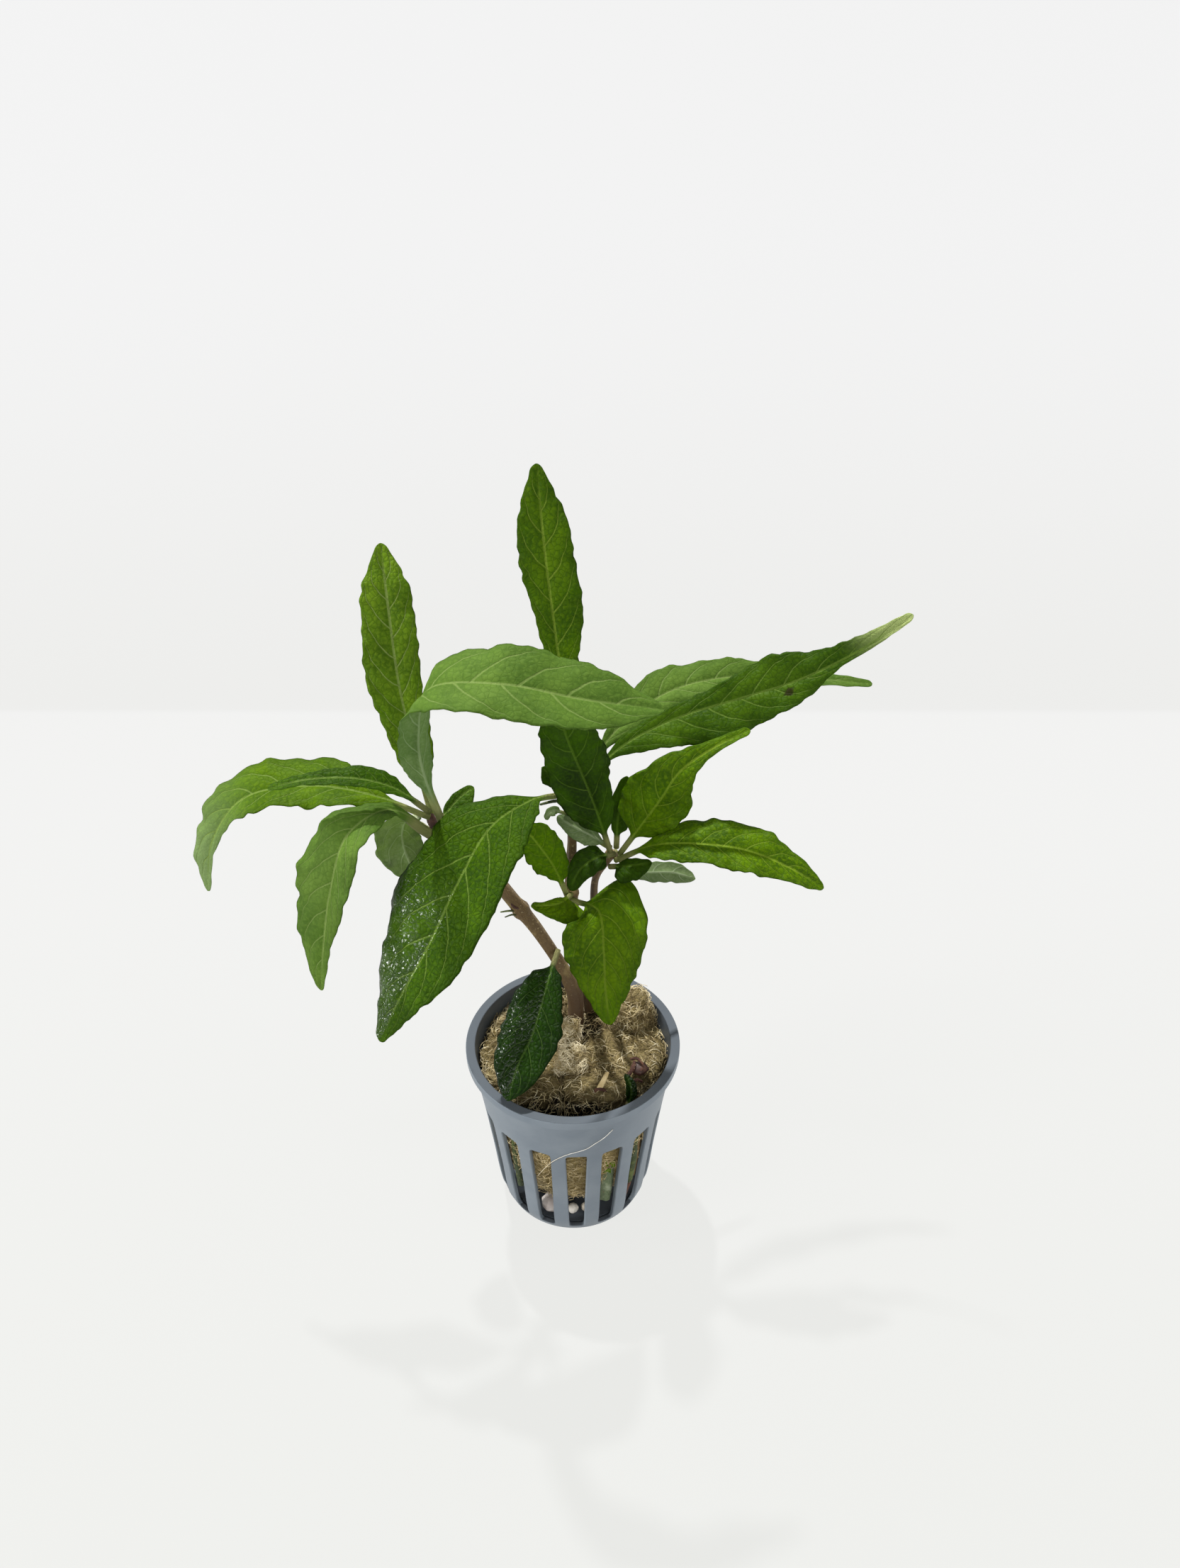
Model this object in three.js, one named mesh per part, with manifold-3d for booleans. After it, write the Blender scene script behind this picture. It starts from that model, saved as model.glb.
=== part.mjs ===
// Potted aquarium plant: a slotted grey net pot filled with rockwool, three cut stems and their leaves.
// Millimetres, +Z up. The origin is the middle of the pot's base, and -Y faces the viewer.
import * as THREE from 'three';
import { mergeVertices } from 'three/addons/utils/BufferGeometryUtils.js';
import Module from 'manifold-3d';

const wasm = await Module();
wasm.setup();

// Pot
const RIM_RADIUS = 25;
const POT_HEIGHT = 46.8;
const BASE_RADIUS = 17.2;
const WALL = 1.2;
const FLOOR = 1.6;
const LIP_HEIGHT = 2.4;
const LIP_WIDTH = 1.1;
const POT_SEGMENTS = 48;
const SLOT_COUNT = 16;
const SLOT_START_ANGLE = 2.5;
const SLOT_BOTTOM = 1.9;
const SLOT_TOP = 32;
const SLOT_WIDTH_BOTTOM = 3.6;
const SLOT_WIDTH_TOP = 5.1;
const SLOT_CORNER = 1.1;

// Outside of the wall from the base up to the lip, as [radius, height]
const WALL_OUTSIDE = [
  [BASE_RADIUS, 0],
  [18.7, 4.5],
  [20.1, 17],
  [22.3, 35],
  [RIM_RADIUS - LIP_WIDTH, POT_HEIGHT - LIP_HEIGHT],
];

// Planting
const ROCKWOOL_BOTTOM = 9.5;
const ROCKWOOL_CLEARANCE = 0.7;
const FRONT_HOLLOW = 4.5;
const ROCKWOOL_SPLIT_X = -2.2;
const SPLIT_GAP = 0.5;
const PIECE_GAP = 0.35;
const STEM_FOOT = 26;

// Leaves
const LEAF_THICKNESS = 0.9;
const LEAF_RINGS = 12;
const PETIOLE_RADIUS = 0.65;
const PETIOLE_END = 0.1;
const TIP_HALF_WIDTH = 0.7;
const WIDTH_STATIONS = [0.2, 0.4, 0.6, 0.8];

const POT_GREY = 0x6b747f;
const ROCKWOOL_TAN = 0x9c8658;
const STEM_BROWN = 0x7a5636;
const LEAF_GREEN = 0x4a7a1c;
const LEAF_BRIGHT = 0x6a9420;
const LEAF_DARK = 0x24481c;
const LEAF_UNDERSIDE = 0x7f9a78;
const PEBBLE_PINK = 0xd3bdb4;
const GRIT_WHITE = 0xd8d2c8;
const SPLINTER_CREAM = 0xd9c39a;
const BARK_RED = 0x5a3322;
const CUTTING_GREEN = 0x8fa384;

const up = (x, y, z) => new THREE.Vector3(x, y, z);
const radians = THREE.MathUtils.degToRad;

// Closed solid through a list of rings, each listed anticlockwise about the direction of travel.
function loft(rings, startPoint, endPoint) {
  const count = rings[0].length;
  const points = [...rings.flat(), startPoint, endPoint];
  const start = points.length - 2;
  const end = points.length - 1;
  const last = (rings.length - 1) * count;
  const index = [];
  for (let j = 0; j < count; j += 1) {
    const k = (j + 1) % count;
    index.push(start, k, j, end, last + j, last + k);
    for (let i = 0; i < rings.length - 1; i += 1) {
      const a = i * count;
      const b = a + count;
      index.push(a + j, a + k, b + k, a + j, b + k, b + j);
    }
  }
  const geometry = new THREE.BufferGeometry();
  geometry.setAttribute('position', new THREE.Float32BufferAttribute(points.flatMap((p) => p.toArray()), 3));
  geometry.setIndex(index);
  return geometry;
}

function toManifold(geometry) {
  const bare = geometry.clone();
  bare.deleteAttribute('normal');
  bare.deleteAttribute('uv');
  const merged = mergeVertices(bare, 1e-4);
  return new wasm.Manifold(new wasm.Mesh({
    numProp: 3,
    vertProperties: new Float32Array(merged.attributes.position.array),
    triVerts: new Uint32Array(merged.index.array),
  }));
}

function fromManifold(solid) {
  const mesh = solid.getMesh();
  const geometry = new THREE.BufferGeometry();
  geometry.setAttribute('position', new THREE.BufferAttribute(mesh.vertProperties, 3));
  geometry.setIndex(new THREE.BufferAttribute(mesh.triVerts, 1));
  return geometry;
}

function piece(name, geometry, color, roughness) {
  const material = new THREE.MeshStandardMaterial({ color, roughness, metalness: 0, flatShading: true });
  const mesh = new THREE.Mesh(geometry, material);
  mesh.name = name;
  return mesh;
}

// Net pot
function potShell() {
  const lipBottom = POT_HEIGHT - LIP_HEIGHT;
  const profile = [
    [0, 0],
    ...WALL_OUTSIDE,
    [RIM_RADIUS, lipBottom + 0.4],
    [RIM_RADIUS, POT_HEIGHT - 0.4],
    [RIM_RADIUS - 0.4, POT_HEIGHT],
    [RIM_RADIUS - LIP_WIDTH - WALL + 0.3, POT_HEIGHT],
    ...WALL_OUTSIDE.slice(1).reverse().map(([r, z]) => [r - WALL, z]),
    [BASE_RADIUS - WALL + 0.5, FLOOR],
    [0, FLOOR],
  ];
  const shell = new THREE.LatheGeometry(profile.map(([r, z]) => new THREE.Vector2(r, z)), POT_SEGMENTS);
  return shell.rotateX(Math.PI / 2);
}

function slotCutter(angle) {
  const top = SLOT_WIDTH_TOP / 2;
  const bottom = SLOT_WIDTH_BOTTOM / 2;
  const outline = new THREE.Shape();
  outline.moveTo(-bottom, SLOT_BOTTOM);
  outline.lineTo(bottom, SLOT_BOTTOM);
  outline.lineTo(top, SLOT_TOP - SLOT_CORNER);
  outline.lineTo(top - 0.3 * SLOT_CORNER, SLOT_TOP - 0.3 * SLOT_CORNER);
  outline.lineTo(top - SLOT_CORNER, SLOT_TOP);
  outline.lineTo(SLOT_CORNER - top, SLOT_TOP);
  outline.lineTo(0.3 * SLOT_CORNER - top, SLOT_TOP - 0.3 * SLOT_CORNER);
  outline.lineTo(-top, SLOT_TOP - SLOT_CORNER);
  const cutter = new THREE.ExtrudeGeometry(outline, { depth: RIM_RADIUS, bevelEnabled: false });
  return cutter.rotateX(Math.PI / 2).rotateZ(angle).translate(10 * Math.sin(angle), -10 * Math.cos(angle), 0);
}

function pot() {
  let solid = toManifold(potShell());
  for (let i = 0; i < SLOT_COUNT; i += 1) {
    const angle = radians(SLOT_START_ANGLE + (360 / SLOT_COUNT) * i);
    solid = solid.subtract(toManifold(slotCutter(angle)));
  }
  return piece('pot', fromManifold(solid), POT_GREY, 0.5);
}

// Inside radius of the wall at a height
function insideRadius(z) {
  const above = WALL_OUTSIDE.findIndex(([, height]) => height >= z);
  const [r0, z0] = WALL_OUTSIDE[above - 1];
  const [r1, z1] = WALL_OUTSIDE[above];
  return THREE.MathUtils.lerp(r0, r1, (z - z0) / (z1 - z0)) - WALL;
}

// Stems
const STEMS = {
  stem_left: {
    radii: [2, 2, 1.9, 1.4, 1.7, 1.6, 1.6],
    path: [[0.7, 10, STEM_FOOT], [0.5, 10, 42], [0.2, 9.9, 52], [-4.6, 9.2, 65.5], [-11.4, 8, 79.2],
      [-19.4, 6.2, 93], [-28, 4.5, 104.5]],
  },
  stem_center: {
    radii: [1.6, 1.6, 1.4, 1.5, 1, 1],
    path: [[4.4, 13.8, STEM_FOOT], [4.2, 13.6, 42], [2, 13, 62], [-0.3, 12.2, 81], [0, 13.4, 94],
      [0, 14, 107]],
  },
  stem_right: {
    radii: [1.2, 1.2, 1, 0.75, 1.1],
    path: [[8.4, 14.4, STEM_FOOT], [8, 14.4, 42], [6, 14.4, 65], [5.2, 14.2, 83], [9, 12.6, 92]],
  },
};

function stemSolid({ path, radii }, growth = 0) {
  const curve = new THREE.CatmullRomCurve3(path.map((p) => up(...p)));
  const steps = (path.length - 1) * 2;
  const rings = [];
  for (let i = 0; i <= steps; i += 1) {
    const t = i / steps;
    const span = Math.min(Math.floor(t * (radii.length - 1)), radii.length - 2);
    const radius = THREE.MathUtils.lerp(radii[span], radii[span + 1], t * (radii.length - 1) - span) + growth;
    const tangent = curve.getTangent(t);
    const across = up(0, 1, 0).cross(tangent).normalize();
    const other = tangent.clone().cross(across);
    rings.push(ringAround(curve.getPoint(t), across, other, radius, radius, 8));
  }
  return loft(rings, curve.getPoint(0), curve.getPoint(1));
}

function ringAround(centre, across, other, a, b, count) {
  return Array.from({ length: count }, (_, j) => {
    const angle = (2 * Math.PI * j) / count;
    const point = centre.clone().addScaledVector(across, a * Math.cos(angle));
    return point.addScaledVector(other, b * Math.sin(angle));
  });
}

// Each leaf runs from its stem to its tip along the spine. facing is where its upper side looks, at even
// steps along it, and left and right are its half widths at WIDTH_STATIONS, seen from the upper side.
const LEAVES = {
  leaf_left_upright: {
    color: LEAF_GREEN,
    spine: [[-29.5, 6.5, 107], [-32, 9, 120], [-34.5, 12.5, 133.5], [-36, 17.5, 147], [-37.5, 24, 159.5]],
    facing: [[0.2, -0.8, 0.5], [0.1, -0.9, 0.4]],
    left: [3, 5.2, 6.2, 5.2],
    right: [3.2, 4.4, 4.8, 5],
  },
  leaf_left_arching: {
    color: LEAF_GREEN,
    spine: [[-26.5, 1.8, 107.5], [-28.5, -3.5, 122.5], [-28, -9.5, 135.5], [-24, -15, 148], [-11, -19, 151],
      [3, -19, 148], [17, -17, 145]],
    facing: [[-0.5, 0.6, 0.6], [-0.2, 0, 0.9], [0.1, -0.5, 0.85], [0.1, -0.5, 0.85]],
    left: [2.4, 3.2, 7.6, 7.6],
    right: [3.4, 4.2, 7, 6.8],
  },
  leaf_far_left: {
    color: LEAF_GREEN,
    spine: [[-30.8, 4, 108], [-41.5, 3.5, 113.5], [-54, 5, 114.5], [-67, 3.5, 112.5], [-74.5, 1.5, 103.5],
      [-77.5, 0, 91]],
    facing: [[0, -0.2, 1], [-0.3, -0.3, 0.9], [-0.45, -0.7, 0.45]],
    left: [3.4, 6, 4.5, 2],
    right: [3, 7.5, 7, 5.6],
  },
  leaf_far_left_narrow: {
    color: LEAF_GREEN,
    spine: [[-30, 2.6, 110.5], [-35, -0.5, 117.5], [-42, -3, 121.5], [-50.5, -4, 122], [-59, -5, 120.5]],
    facing: [[0, -0.3, 1], [0, -0.3, 1]],
    left: [1.8, 2.3, 2.2, 1.5],
    right: [2.4, 3.4, 2.5, 1.5],
  },
  leaf_left_hanging: {
    color: LEAF_GREEN,
    spine: [[-30.4, 2.4, 105], [-36.5, -1.5, 113], [-43.5, -9.5, 112.5], [-47.5, -13.5, 101.5],
      [-50, -15, 89.5], [-52, -16, 77.5]],
    facing: [[0, -0.3, 1], [-0.4, -0.6, 0.7], [-0.5, -0.8, 0.3]],
    left: [2.2, 5, 5, 2.2],
    right: [2, 6.5, 8.7, 6.6],
  },
  leaf_front_large: {
    color: LEAF_GREEN,
    spine: [[-1.9, 12.4, 107.4], [-9, 2.5, 112], [-16, -6, 111.5], [-22, -14, 104], [-27.5, -20, 94],
      [-33.5, -23.5, 83.5], [-39, -25, 72]],
    facing: [[-0.1, -0.2, 1], [-0.35, -0.55, 0.75], [-0.5, -0.7, 0.5]],
    left: [5, 10.4, 10.4, 6.3],
    right: [4.5, 10.4, 12, 7.6],
  },
  leaf_left_pale: {
    color: LEAF_UNDERSIDE,
    spine: [[-30.6, 5.6, 103.4], [-34.6, 8, 104.5], [-36.8, 9.4, 99], [-35.6, 9.6, 91], [-32.6, 9.6, 84]],
    facing: [[-0.3, 0.5, 0.8], [-0.5, 0.8, 0.2], [-0.3, 0.9, -0.2]],
    left: [3.5, 6, 6, 3.5],
    right: [3, 4.5, 4.5, 3],
  },
  leaf_left_small: {
    color: LEAF_GREEN,
    spine: [[-27.2, 7.4, 104.6], [-25.6, 9.4, 106.2], [-23.3, 11.5, 107.8], [-20.9, 13, 109]],
    facing: [[0, -0.7, 0.7], [0, -0.7, 0.7]],
    left: [1, 1.4, 1.6, 1.2],
    right: [1.6, 3.2, 3.6, 2.4],
  },
  leaf_center_upright: {
    color: LEAF_BRIGHT,
    spine: [[0.6, 15.6, 108.6], [-1, 17, 125.5], [-3, 20, 141.5], [-5, 24.5, 157.5], [-6.5, 30, 173.5]],
    facing: [[0, -0.9, 0.4], [0, -0.9, 0.4]],
    left: [2, 2.4, 4.2, 5.3],
    right: [2.6, 4, 6.2, 5.4],
  },
  leaf_center_broad: {
    color: LEAF_DARK,
    spine: [[8.2, 10.6, 94.4], [5.5, 8.5, 105.5], [2.5, 6.5, 116], [-0.5, 4.5, 126], [-3, 3, 137]],
    facing: [[0, -0.85, 0.5], [0, -0.85, 0.5]],
    left: [4.4, 6.6, 6.5, 5.2],
    right: [3, 4.9, 6.4, 5.6],
  },
  leaf_right_young: {
    color: LEAF_GREEN,
    spine: [[9.9, 13.5, 94.2], [10.1, 14.1, 99.6], [10.8, 14.9, 105], [12, 15.8, 109.8]],
    facing: [[0, -0.8, 0.6], [0, -0.8, 0.6]],
    left: [1.2, 1.7, 2, 1.6],
    right: [2, 3, 3.5, 2.8],
  },
  leaf_right_twisting: {
    color: LEAF_GREEN,
    spine: [[11.4, 11.6, 93.6], [15.2, 11, 100.5], [19, 11, 107], [23, 12, 113.5], [29.5, 13, 118.5],
      [37.5, 15, 122]],
    facing: [[0, -0.7, 0.7], [0.2, -0.7, 0.7], [0.1, -0.4, 0.9]],
    left: [6.4, 8, 4.8, 1.9],
    right: [4.2, 6.4, 3.9, 1.4],
  },
  leaf_right_low: {
    color: LEAF_GREEN,
    spine: [[10.8, 10.8, 91.6], [18, 7.6, 97.5], [27.5, 6, 99], [37, 4.5, 98.5], [46, 2.6, 95.5],
      [54, 1, 91]],
    facing: [[0, -0.3, 1], [0.1, -0.4, 0.9], [0.4, -0.5, 0.7]],
    left: [2.6, 6, 6.2, 4],
    right: [3.6, 5.2, 5.5, 3.9],
  },
  leaf_right_inner: {
    color: LEAF_DARK,
    spine: [[9.4, 11.2, 89], [11.6, 8.7, 91], [14.4, 7.6, 92.2], [17.4, 7, 93.2]],
    facing: [[0, -0.6, 0.8], [0, -0.7, 0.7]],
    left: [1.2, 1.6, 1.6, 1.2],
    right: [3, 3.8, 3.6, 2.4],
  },
  leaf_right_long: {
    color: LEAF_GREEN,
    spine: [[1.8, 14.8, 107.8], [11, 17.5, 116.5], [23, 21, 121.5], [36, 23, 125], [48.5, 24, 129],
      [60.5, 24, 136], [70, 23, 144.5]],
    facing: [[0, -0.7, 0.7], [0, -0.75, 0.65], [0, -0.7, 0.7]],
    left: [2, 3.2, 6.8, 3.2],
    right: [3.2, 7.4, 5.8, 1.1],
  },
  leaf_right_pale: {
    color: LEAF_UNDERSIDE,
    spine: [[10.2, 14.6, 89.6], [13.3, 16.5, 83.4], [17.5, 18.5, 81.7], [23.4, 20.5, 80.1],
      [28.6, 21.5, 77.5]],
    facing: [[0, 0.7, -0.6], [0, 0.7, -0.6]],
    left: [0.9, 1.6, 2.2, 2.2],
    right: [0.9, 1.8, 2.4, 2.3],
  },
  leaf_center_small: {
    color: LEAF_DARK,
    spine: [[8.2, 10, 93.1], [5.2, 7.4, 94.2], [1.8, 6, 92], [-0.4, 5.4, 86.8]],
    facing: [[-0.2, -0.6, 0.8], [-0.2, -0.8, 0.5]],
    left: [2.4, 3.2, 3, 2.2],
    right: [2.4, 3.2, 2.8, 1.8],
  },
  leaf_center_left: {
    color: LEAF_GREEN,
    spine: [[-1.8, 10.2, 83.6], [-4, 9.4, 90.5], [-7.4, 8.4, 97.5], [-11, 7, 104]],
    facing: [[-0.2, -0.8, 0.6], [-0.2, -0.8, 0.6]],
    left: [2.6, 4, 4.2, 3.6],
    right: [2.4, 4, 4.7, 4],
  },
  leaf_center_pale: {
    color: LEAF_UNDERSIDE,
    spine: [[7.4, 12, 94.4], [4.2, 10.6, 97.8], [0.9, 10, 100.3], [-3.1, 10.4, 103.1]],
    facing: [[0, 0.6, -0.7], [0, 0.6, -0.7]],
    left: [1.4, 2.2, 2.4, 1.8],
    right: [1.6, 2.4, 2.4, 1.8],
  },
  leaf_center_stub: {
    color: LEAF_DARK,
    spine: [[-1.6, 14, 108.6], [-4, 12.6, 112], [-6, 12, 114.5]],
    facing: [[0, -0.8, 0.6], [0, -0.8, 0.6]],
    left: [1.4, 2.2, 2.4, 1.8],
    right: [1.2, 2, 2.2, 1.6],
  },
  leaf_front_bright: {
    color: LEAF_BRIGHT,
    spine: [[0.8, 9.4, 80.6], [6, 2, 83.5], [7, -4, 77], [7.4, -7, 69], [8.4, -9, 60.5]],
    facing: [[0.1, -0.5, 0.8], [0, -0.6, 0.7], [0, -0.8, 0.5]],
    left: [9.4, 9.6, 7.4, 4.2],
    right: [5.5, 8.8, 7.2, 4.2],
  },
  leaf_front_pointed: {
    color: LEAF_BRIGHT,
    spine: [[-0.9, 9.2, 82], [-2.4, 5.8, 83], [-5, 3.4, 84.2], [-8.7, 2, 85.3]],
    facing: [[0, -0.6, 0.8], [0, -0.6, 0.8]],
    left: [5.4, 6, 4, 2],
    right: [1.3, 1.5, 1.3, 0.8],
  },
  leaf_right_back: {
    color: LEAF_GREEN,
    spine: [[1.4, 15.9, 107.4], [10, 23, 117.5], [22, 32, 122], [37, 37, 123], [52.5, 39, 121.5],
      [68, 38, 120.5]],
    facing: [[0, -0.6, 0.8], [0, -0.5, 0.85], [0, -0.4, 0.9]],
    left: [2, 5.6, 4.4, 2.4],
    right: [2.4, 4.3, 4, 2.4],
  },
  leaf_pot_dark: {
    color: LEAF_DARK,
    spine: [[-3.8, 7, 66.4], [-5.2, 2.4, 64.5], [-7, -3, 60.5], [-9, -8.5, 56.5], [-12, -15, 53.6],
      [-14, -21, 49.6]],
    facing: [[-0.2, -0.5, 0.8], [-0.2, -0.7, 0.7], [-0.2, -0.7, 0.7]],
    left: [3, 5, 6.4, 6],
    right: [4, 7, 7, 5.6],
  },
};

// Value at t along evenly spaced samples
function sample(list, t) {
  const place = t * (list.length - 1);
  const i = Math.min(Math.floor(place), list.length - 2);
  return THREE.MathUtils.lerp(list[i], list[i + 1], place - i);
}

// Half width along a leaf: the petiole, then a smooth run through the stations to the tip
function halfWidth(stations, t) {
  if (t < PETIOLE_END) {
    return PETIOLE_RADIUS;
  }
  const blade = WIDTH_STATIONS.map((at, i) => [at, stations[i]]);
  const knots = [[PETIOLE_END, PETIOLE_RADIUS], ...blade, [1, TIP_HALF_WIDTH]];
  const i = Math.max(1, knots.findIndex(([at]) => at >= t));
  const [t0, w0] = knots[i - 1];
  const [t1, w1] = knots[i];
  const straight = (t - t0) / (t1 - t0);
  return THREE.MathUtils.lerp(w0, w1, 0.4 * THREE.MathUtils.smoothstep(t, t0, t1) + 0.6 * straight);
}

function leafSolid({ spine, facing, left, right }) {
  const curve = new THREE.CatmullRomCurve3(spine.map((p) => up(...p)));
  const rings = [];
  for (let i = 0; i < LEAF_RINGS; i += 1) {
    const t = (0.985 * i) / (LEAF_RINGS - 1);
    const centre = curve.getPoint(t);
    const tangent = curve.getTangent(t);
    const upward = up(...[0, 1, 2].map((axis) => sample(facing.map((f) => f[axis]), t)));
    const across = tangent.clone().cross(upward).normalize();
    const normal = across.clone().cross(tangent);
    const r = halfWidth(right, t);
    const l = halfWidth(left, t);
    const thick = LEAF_THICKNESS * (t < PETIOLE_END ? 1.3 : 1 - 0.6 * t);
    const at = (side, height) => centre.clone().addScaledVector(across, side).addScaledVector(normal, height);
    rings.push([
      at(0, thick / 2),
      at(0.5 * r, 0.35 * thick),
      at(r, 0),
      at(0.5 * r, -0.35 * thick),
      at(0, -thick / 2),
      at(-0.5 * l, -0.35 * thick),
      at(-l, 0),
      at(-0.5 * l, 0.35 * thick),
    ]);
  }
  return loft(rings, curve.getPoint(0), curve.getPoint(1));
}

// Rockwool
function lump(angle, z, seed) {
  return 0.5 * Math.sin(3 * angle + 0.35 * z + seed) + 0.35 * Math.sin(7 * angle - 0.6 * z + 2 * seed);
}

// Half of the plug, cut straight on its inner side. The front of its top is pulled back from the wall.
// shoulder is the share of the pot's inside that the plug fills at its three upper levels.
function rockwoolHalf(side, top, shoulder, seed) {
  const levels = [ROCKWOOL_BOTTOM, 16, 22, 28, 33, 37, top - 1, top];
  const shrink = [0.9, 0.97, 1, 1, 0.98, ...shoulder];
  const steps = 14;
  const rings = levels.map((z, k) => {
    const ring = [];
    for (let j = 0; j <= steps; j += 1) {
      const angle = side * (-Math.PI / 2 + (Math.PI * j) / steps);
      const front = Math.max(0, -Math.sin(angle)) * THREE.MathUtils.smoothstep(z, 30, 40);
      const free = insideRadius(z) - ROCKWOOL_CLEARANCE - 0.5 + 0.5 * lump(angle, z, seed);
      const radius = free * shrink[k] - FRONT_HOLLOW * front;
      const middle = j === 0 || j === steps;
      const x = middle ? ROCKWOOL_SPLIT_X + side * SPLIT_GAP : side * radius * Math.cos(angle);
      ring.push(up(x, radius * Math.sin(angle), z));
    }
    return ring;
  });
  const centre = side * 9;
  return loft(rings, up(centre, 0, ROCKWOOL_BOTTOM), up(centre, 1, top + 0.8));
}

function lumpyStone(centre, radii, seed) {
  const rings = [-0.75, -0.3, 0.2, 0.65, 0.92].map((level) => {
    const wide = Math.sqrt(1 - level * level);
    return Array.from({ length: 9 }, (_, j) => {
      const angle = (2 * Math.PI * j) / 9;
      const grow = wide * (1 + 0.12 * lump(angle, 4 * level, seed));
      const offset = up(grow * Math.cos(angle), grow * Math.sin(angle), level);
      return offset.multiply(up(...radii)).add(up(...centre));
    });
  });
  const tip = (level) => up(centre[0], centre[1], centre[2] + radii[2] * level);
  return loft(rings, tip(-1), tip(1));
}

// A torn flake standing on the plug, as a bent slab
function flake(foot, head, width, thickness, seed) {
  const rings = [0, 0.25, 0.5, 0.75, 1].map((t) => {
    const centre = up(...foot).lerp(up(...head), t);
    const grow = 1 - 0.45 * t * t + 0.12 * lump(seed, 9 * t, seed);
    return ringAround(centre, up(1, 0, 0), up(0, 1, 0), width * grow, thickness * grow, 8);
  });
  return loft(rings, up(...foot), up(...head));
}

const FLAKES = {
  rockwool_flake_rear: {
    foot: [-1.4, 0.6, 44], head: [-0.2, 2.2, 51], width: 2.6, thickness: 1.2, seed: 1,
  },
  rockwool_flake_front: {
    foot: [-0.6, -6.5, 44], head: [0.2, -3.6, 48], width: 3.6, thickness: 1.6, seed: 4,
  },
};

const plant = new THREE.Group();
plant.add(pot());
for (const [name, stem] of Object.entries(STEMS)) {
  plant.add(piece(name, stemSolid(stem), STEM_BROWN, 0.8));
}
for (const [name, leaf] of Object.entries(LEAVES)) {
  plant.add(piece(name, leafSolid(leaf), leaf.color, 0.45));
}

// The halves of the plug close round the stems and the stem cutting, with a small gap
const CUTTING = { radii: [1.7, 1.8, 1.5], path: [[7.4, -13.9, 8.4], [7.8, -14.5, 15], [8.3, -15.2, 22]] };
const pushedIn = [...Object.values(STEMS), CUTTING].map((stem) => toManifold(stemSolid(stem, PIECE_GAP)));

function plugHalf(name, { side, top, shoulder, seed, tuft }) {
  let solid = toManifold(rockwoolHalf(side, top, shoulder, seed));
  if (tuft) {
    solid = solid.add(toManifold(tuft));
  }
  for (const hole of pushedIn) {
    solid = solid.subtract(hole);
  }
  return piece(name, fromManifold(solid), ROCKWOOL_TAN, 1);
}

const TUFT = lumpyStone([13.6, 10, 44], [4.7, 4.4, 7.4], 3);
plant.add(plugHalf('rockwool_left', { side: -1, top: 43, shoulder: [0.99, 0.97, 0.86], seed: 2 }));
plant.add(plugHalf('rockwool_right', { side: 1, top: 43, shoulder: [0.98, 0.96, 0.86], seed: 5, tuft: TUFT }));
for (const [name, f] of Object.entries(FLAKES)) {
  plant.add(piece(name, flake(f.foot, f.head, f.width, f.thickness, f.seed), ROCKWOOL_TAN, 1));
}

// Small things in the pot
plant.add(piece('stem_cutting', stemSolid(CUTTING), CUTTING_GREEN, 0.6));
plant.add(piece('pebble', lumpyStone([-5.2, -13, 4.7], [2.8, 2.4, 2.6], 1), PEBBLE_PINK, 0.5));
plant.add(piece('grit_1', lumpyStone([-0.2, -14, 3.6], [1.5, 1.3, 1.4], 2), GRIT_WHITE, 0.6));
plant.add(piece('grit_2', lumpyStone([3, -13.6, 3.4], [1.3, 1.2, 1.2], 6), GRIT_WHITE, 0.6));
plant.add(piece('bark_chip', lumpyStone([15.2, -7.6, 45.2], [2.2, 1.8, 1.3], 7), BARK_RED, 0.9));
plant.add(piece('splinter', flake([6, -12.4, 43.6], [8, -10, 46.6], 0.7, 0.4, 3), SPLINTER_CREAM, 0.8));

export default plant;
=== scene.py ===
# Potted aquarium plant: leaves, stems, rockwool and net pot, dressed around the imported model.
import math

import bpy
import numpy as np
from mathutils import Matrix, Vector


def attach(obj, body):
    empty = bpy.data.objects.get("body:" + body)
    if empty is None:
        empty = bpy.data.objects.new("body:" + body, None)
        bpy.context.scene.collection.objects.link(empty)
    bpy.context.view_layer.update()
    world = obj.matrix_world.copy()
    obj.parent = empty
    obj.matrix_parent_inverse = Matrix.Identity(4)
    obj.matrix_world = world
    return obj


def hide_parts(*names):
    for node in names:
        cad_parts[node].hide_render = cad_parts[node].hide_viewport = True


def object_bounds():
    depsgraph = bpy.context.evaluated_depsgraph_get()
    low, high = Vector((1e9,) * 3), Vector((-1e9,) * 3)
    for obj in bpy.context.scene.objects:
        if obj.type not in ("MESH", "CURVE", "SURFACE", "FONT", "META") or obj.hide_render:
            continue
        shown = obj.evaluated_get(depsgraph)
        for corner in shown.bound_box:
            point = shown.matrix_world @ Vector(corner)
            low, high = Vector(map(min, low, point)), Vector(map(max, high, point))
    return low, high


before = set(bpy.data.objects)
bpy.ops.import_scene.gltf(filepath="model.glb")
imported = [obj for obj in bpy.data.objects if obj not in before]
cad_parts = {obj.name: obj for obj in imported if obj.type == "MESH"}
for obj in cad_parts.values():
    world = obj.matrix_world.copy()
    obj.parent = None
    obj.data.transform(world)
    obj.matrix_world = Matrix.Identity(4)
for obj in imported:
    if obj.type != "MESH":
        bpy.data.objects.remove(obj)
cad_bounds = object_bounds()

MM = 0.001
PHASE_END = 6.28

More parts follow.
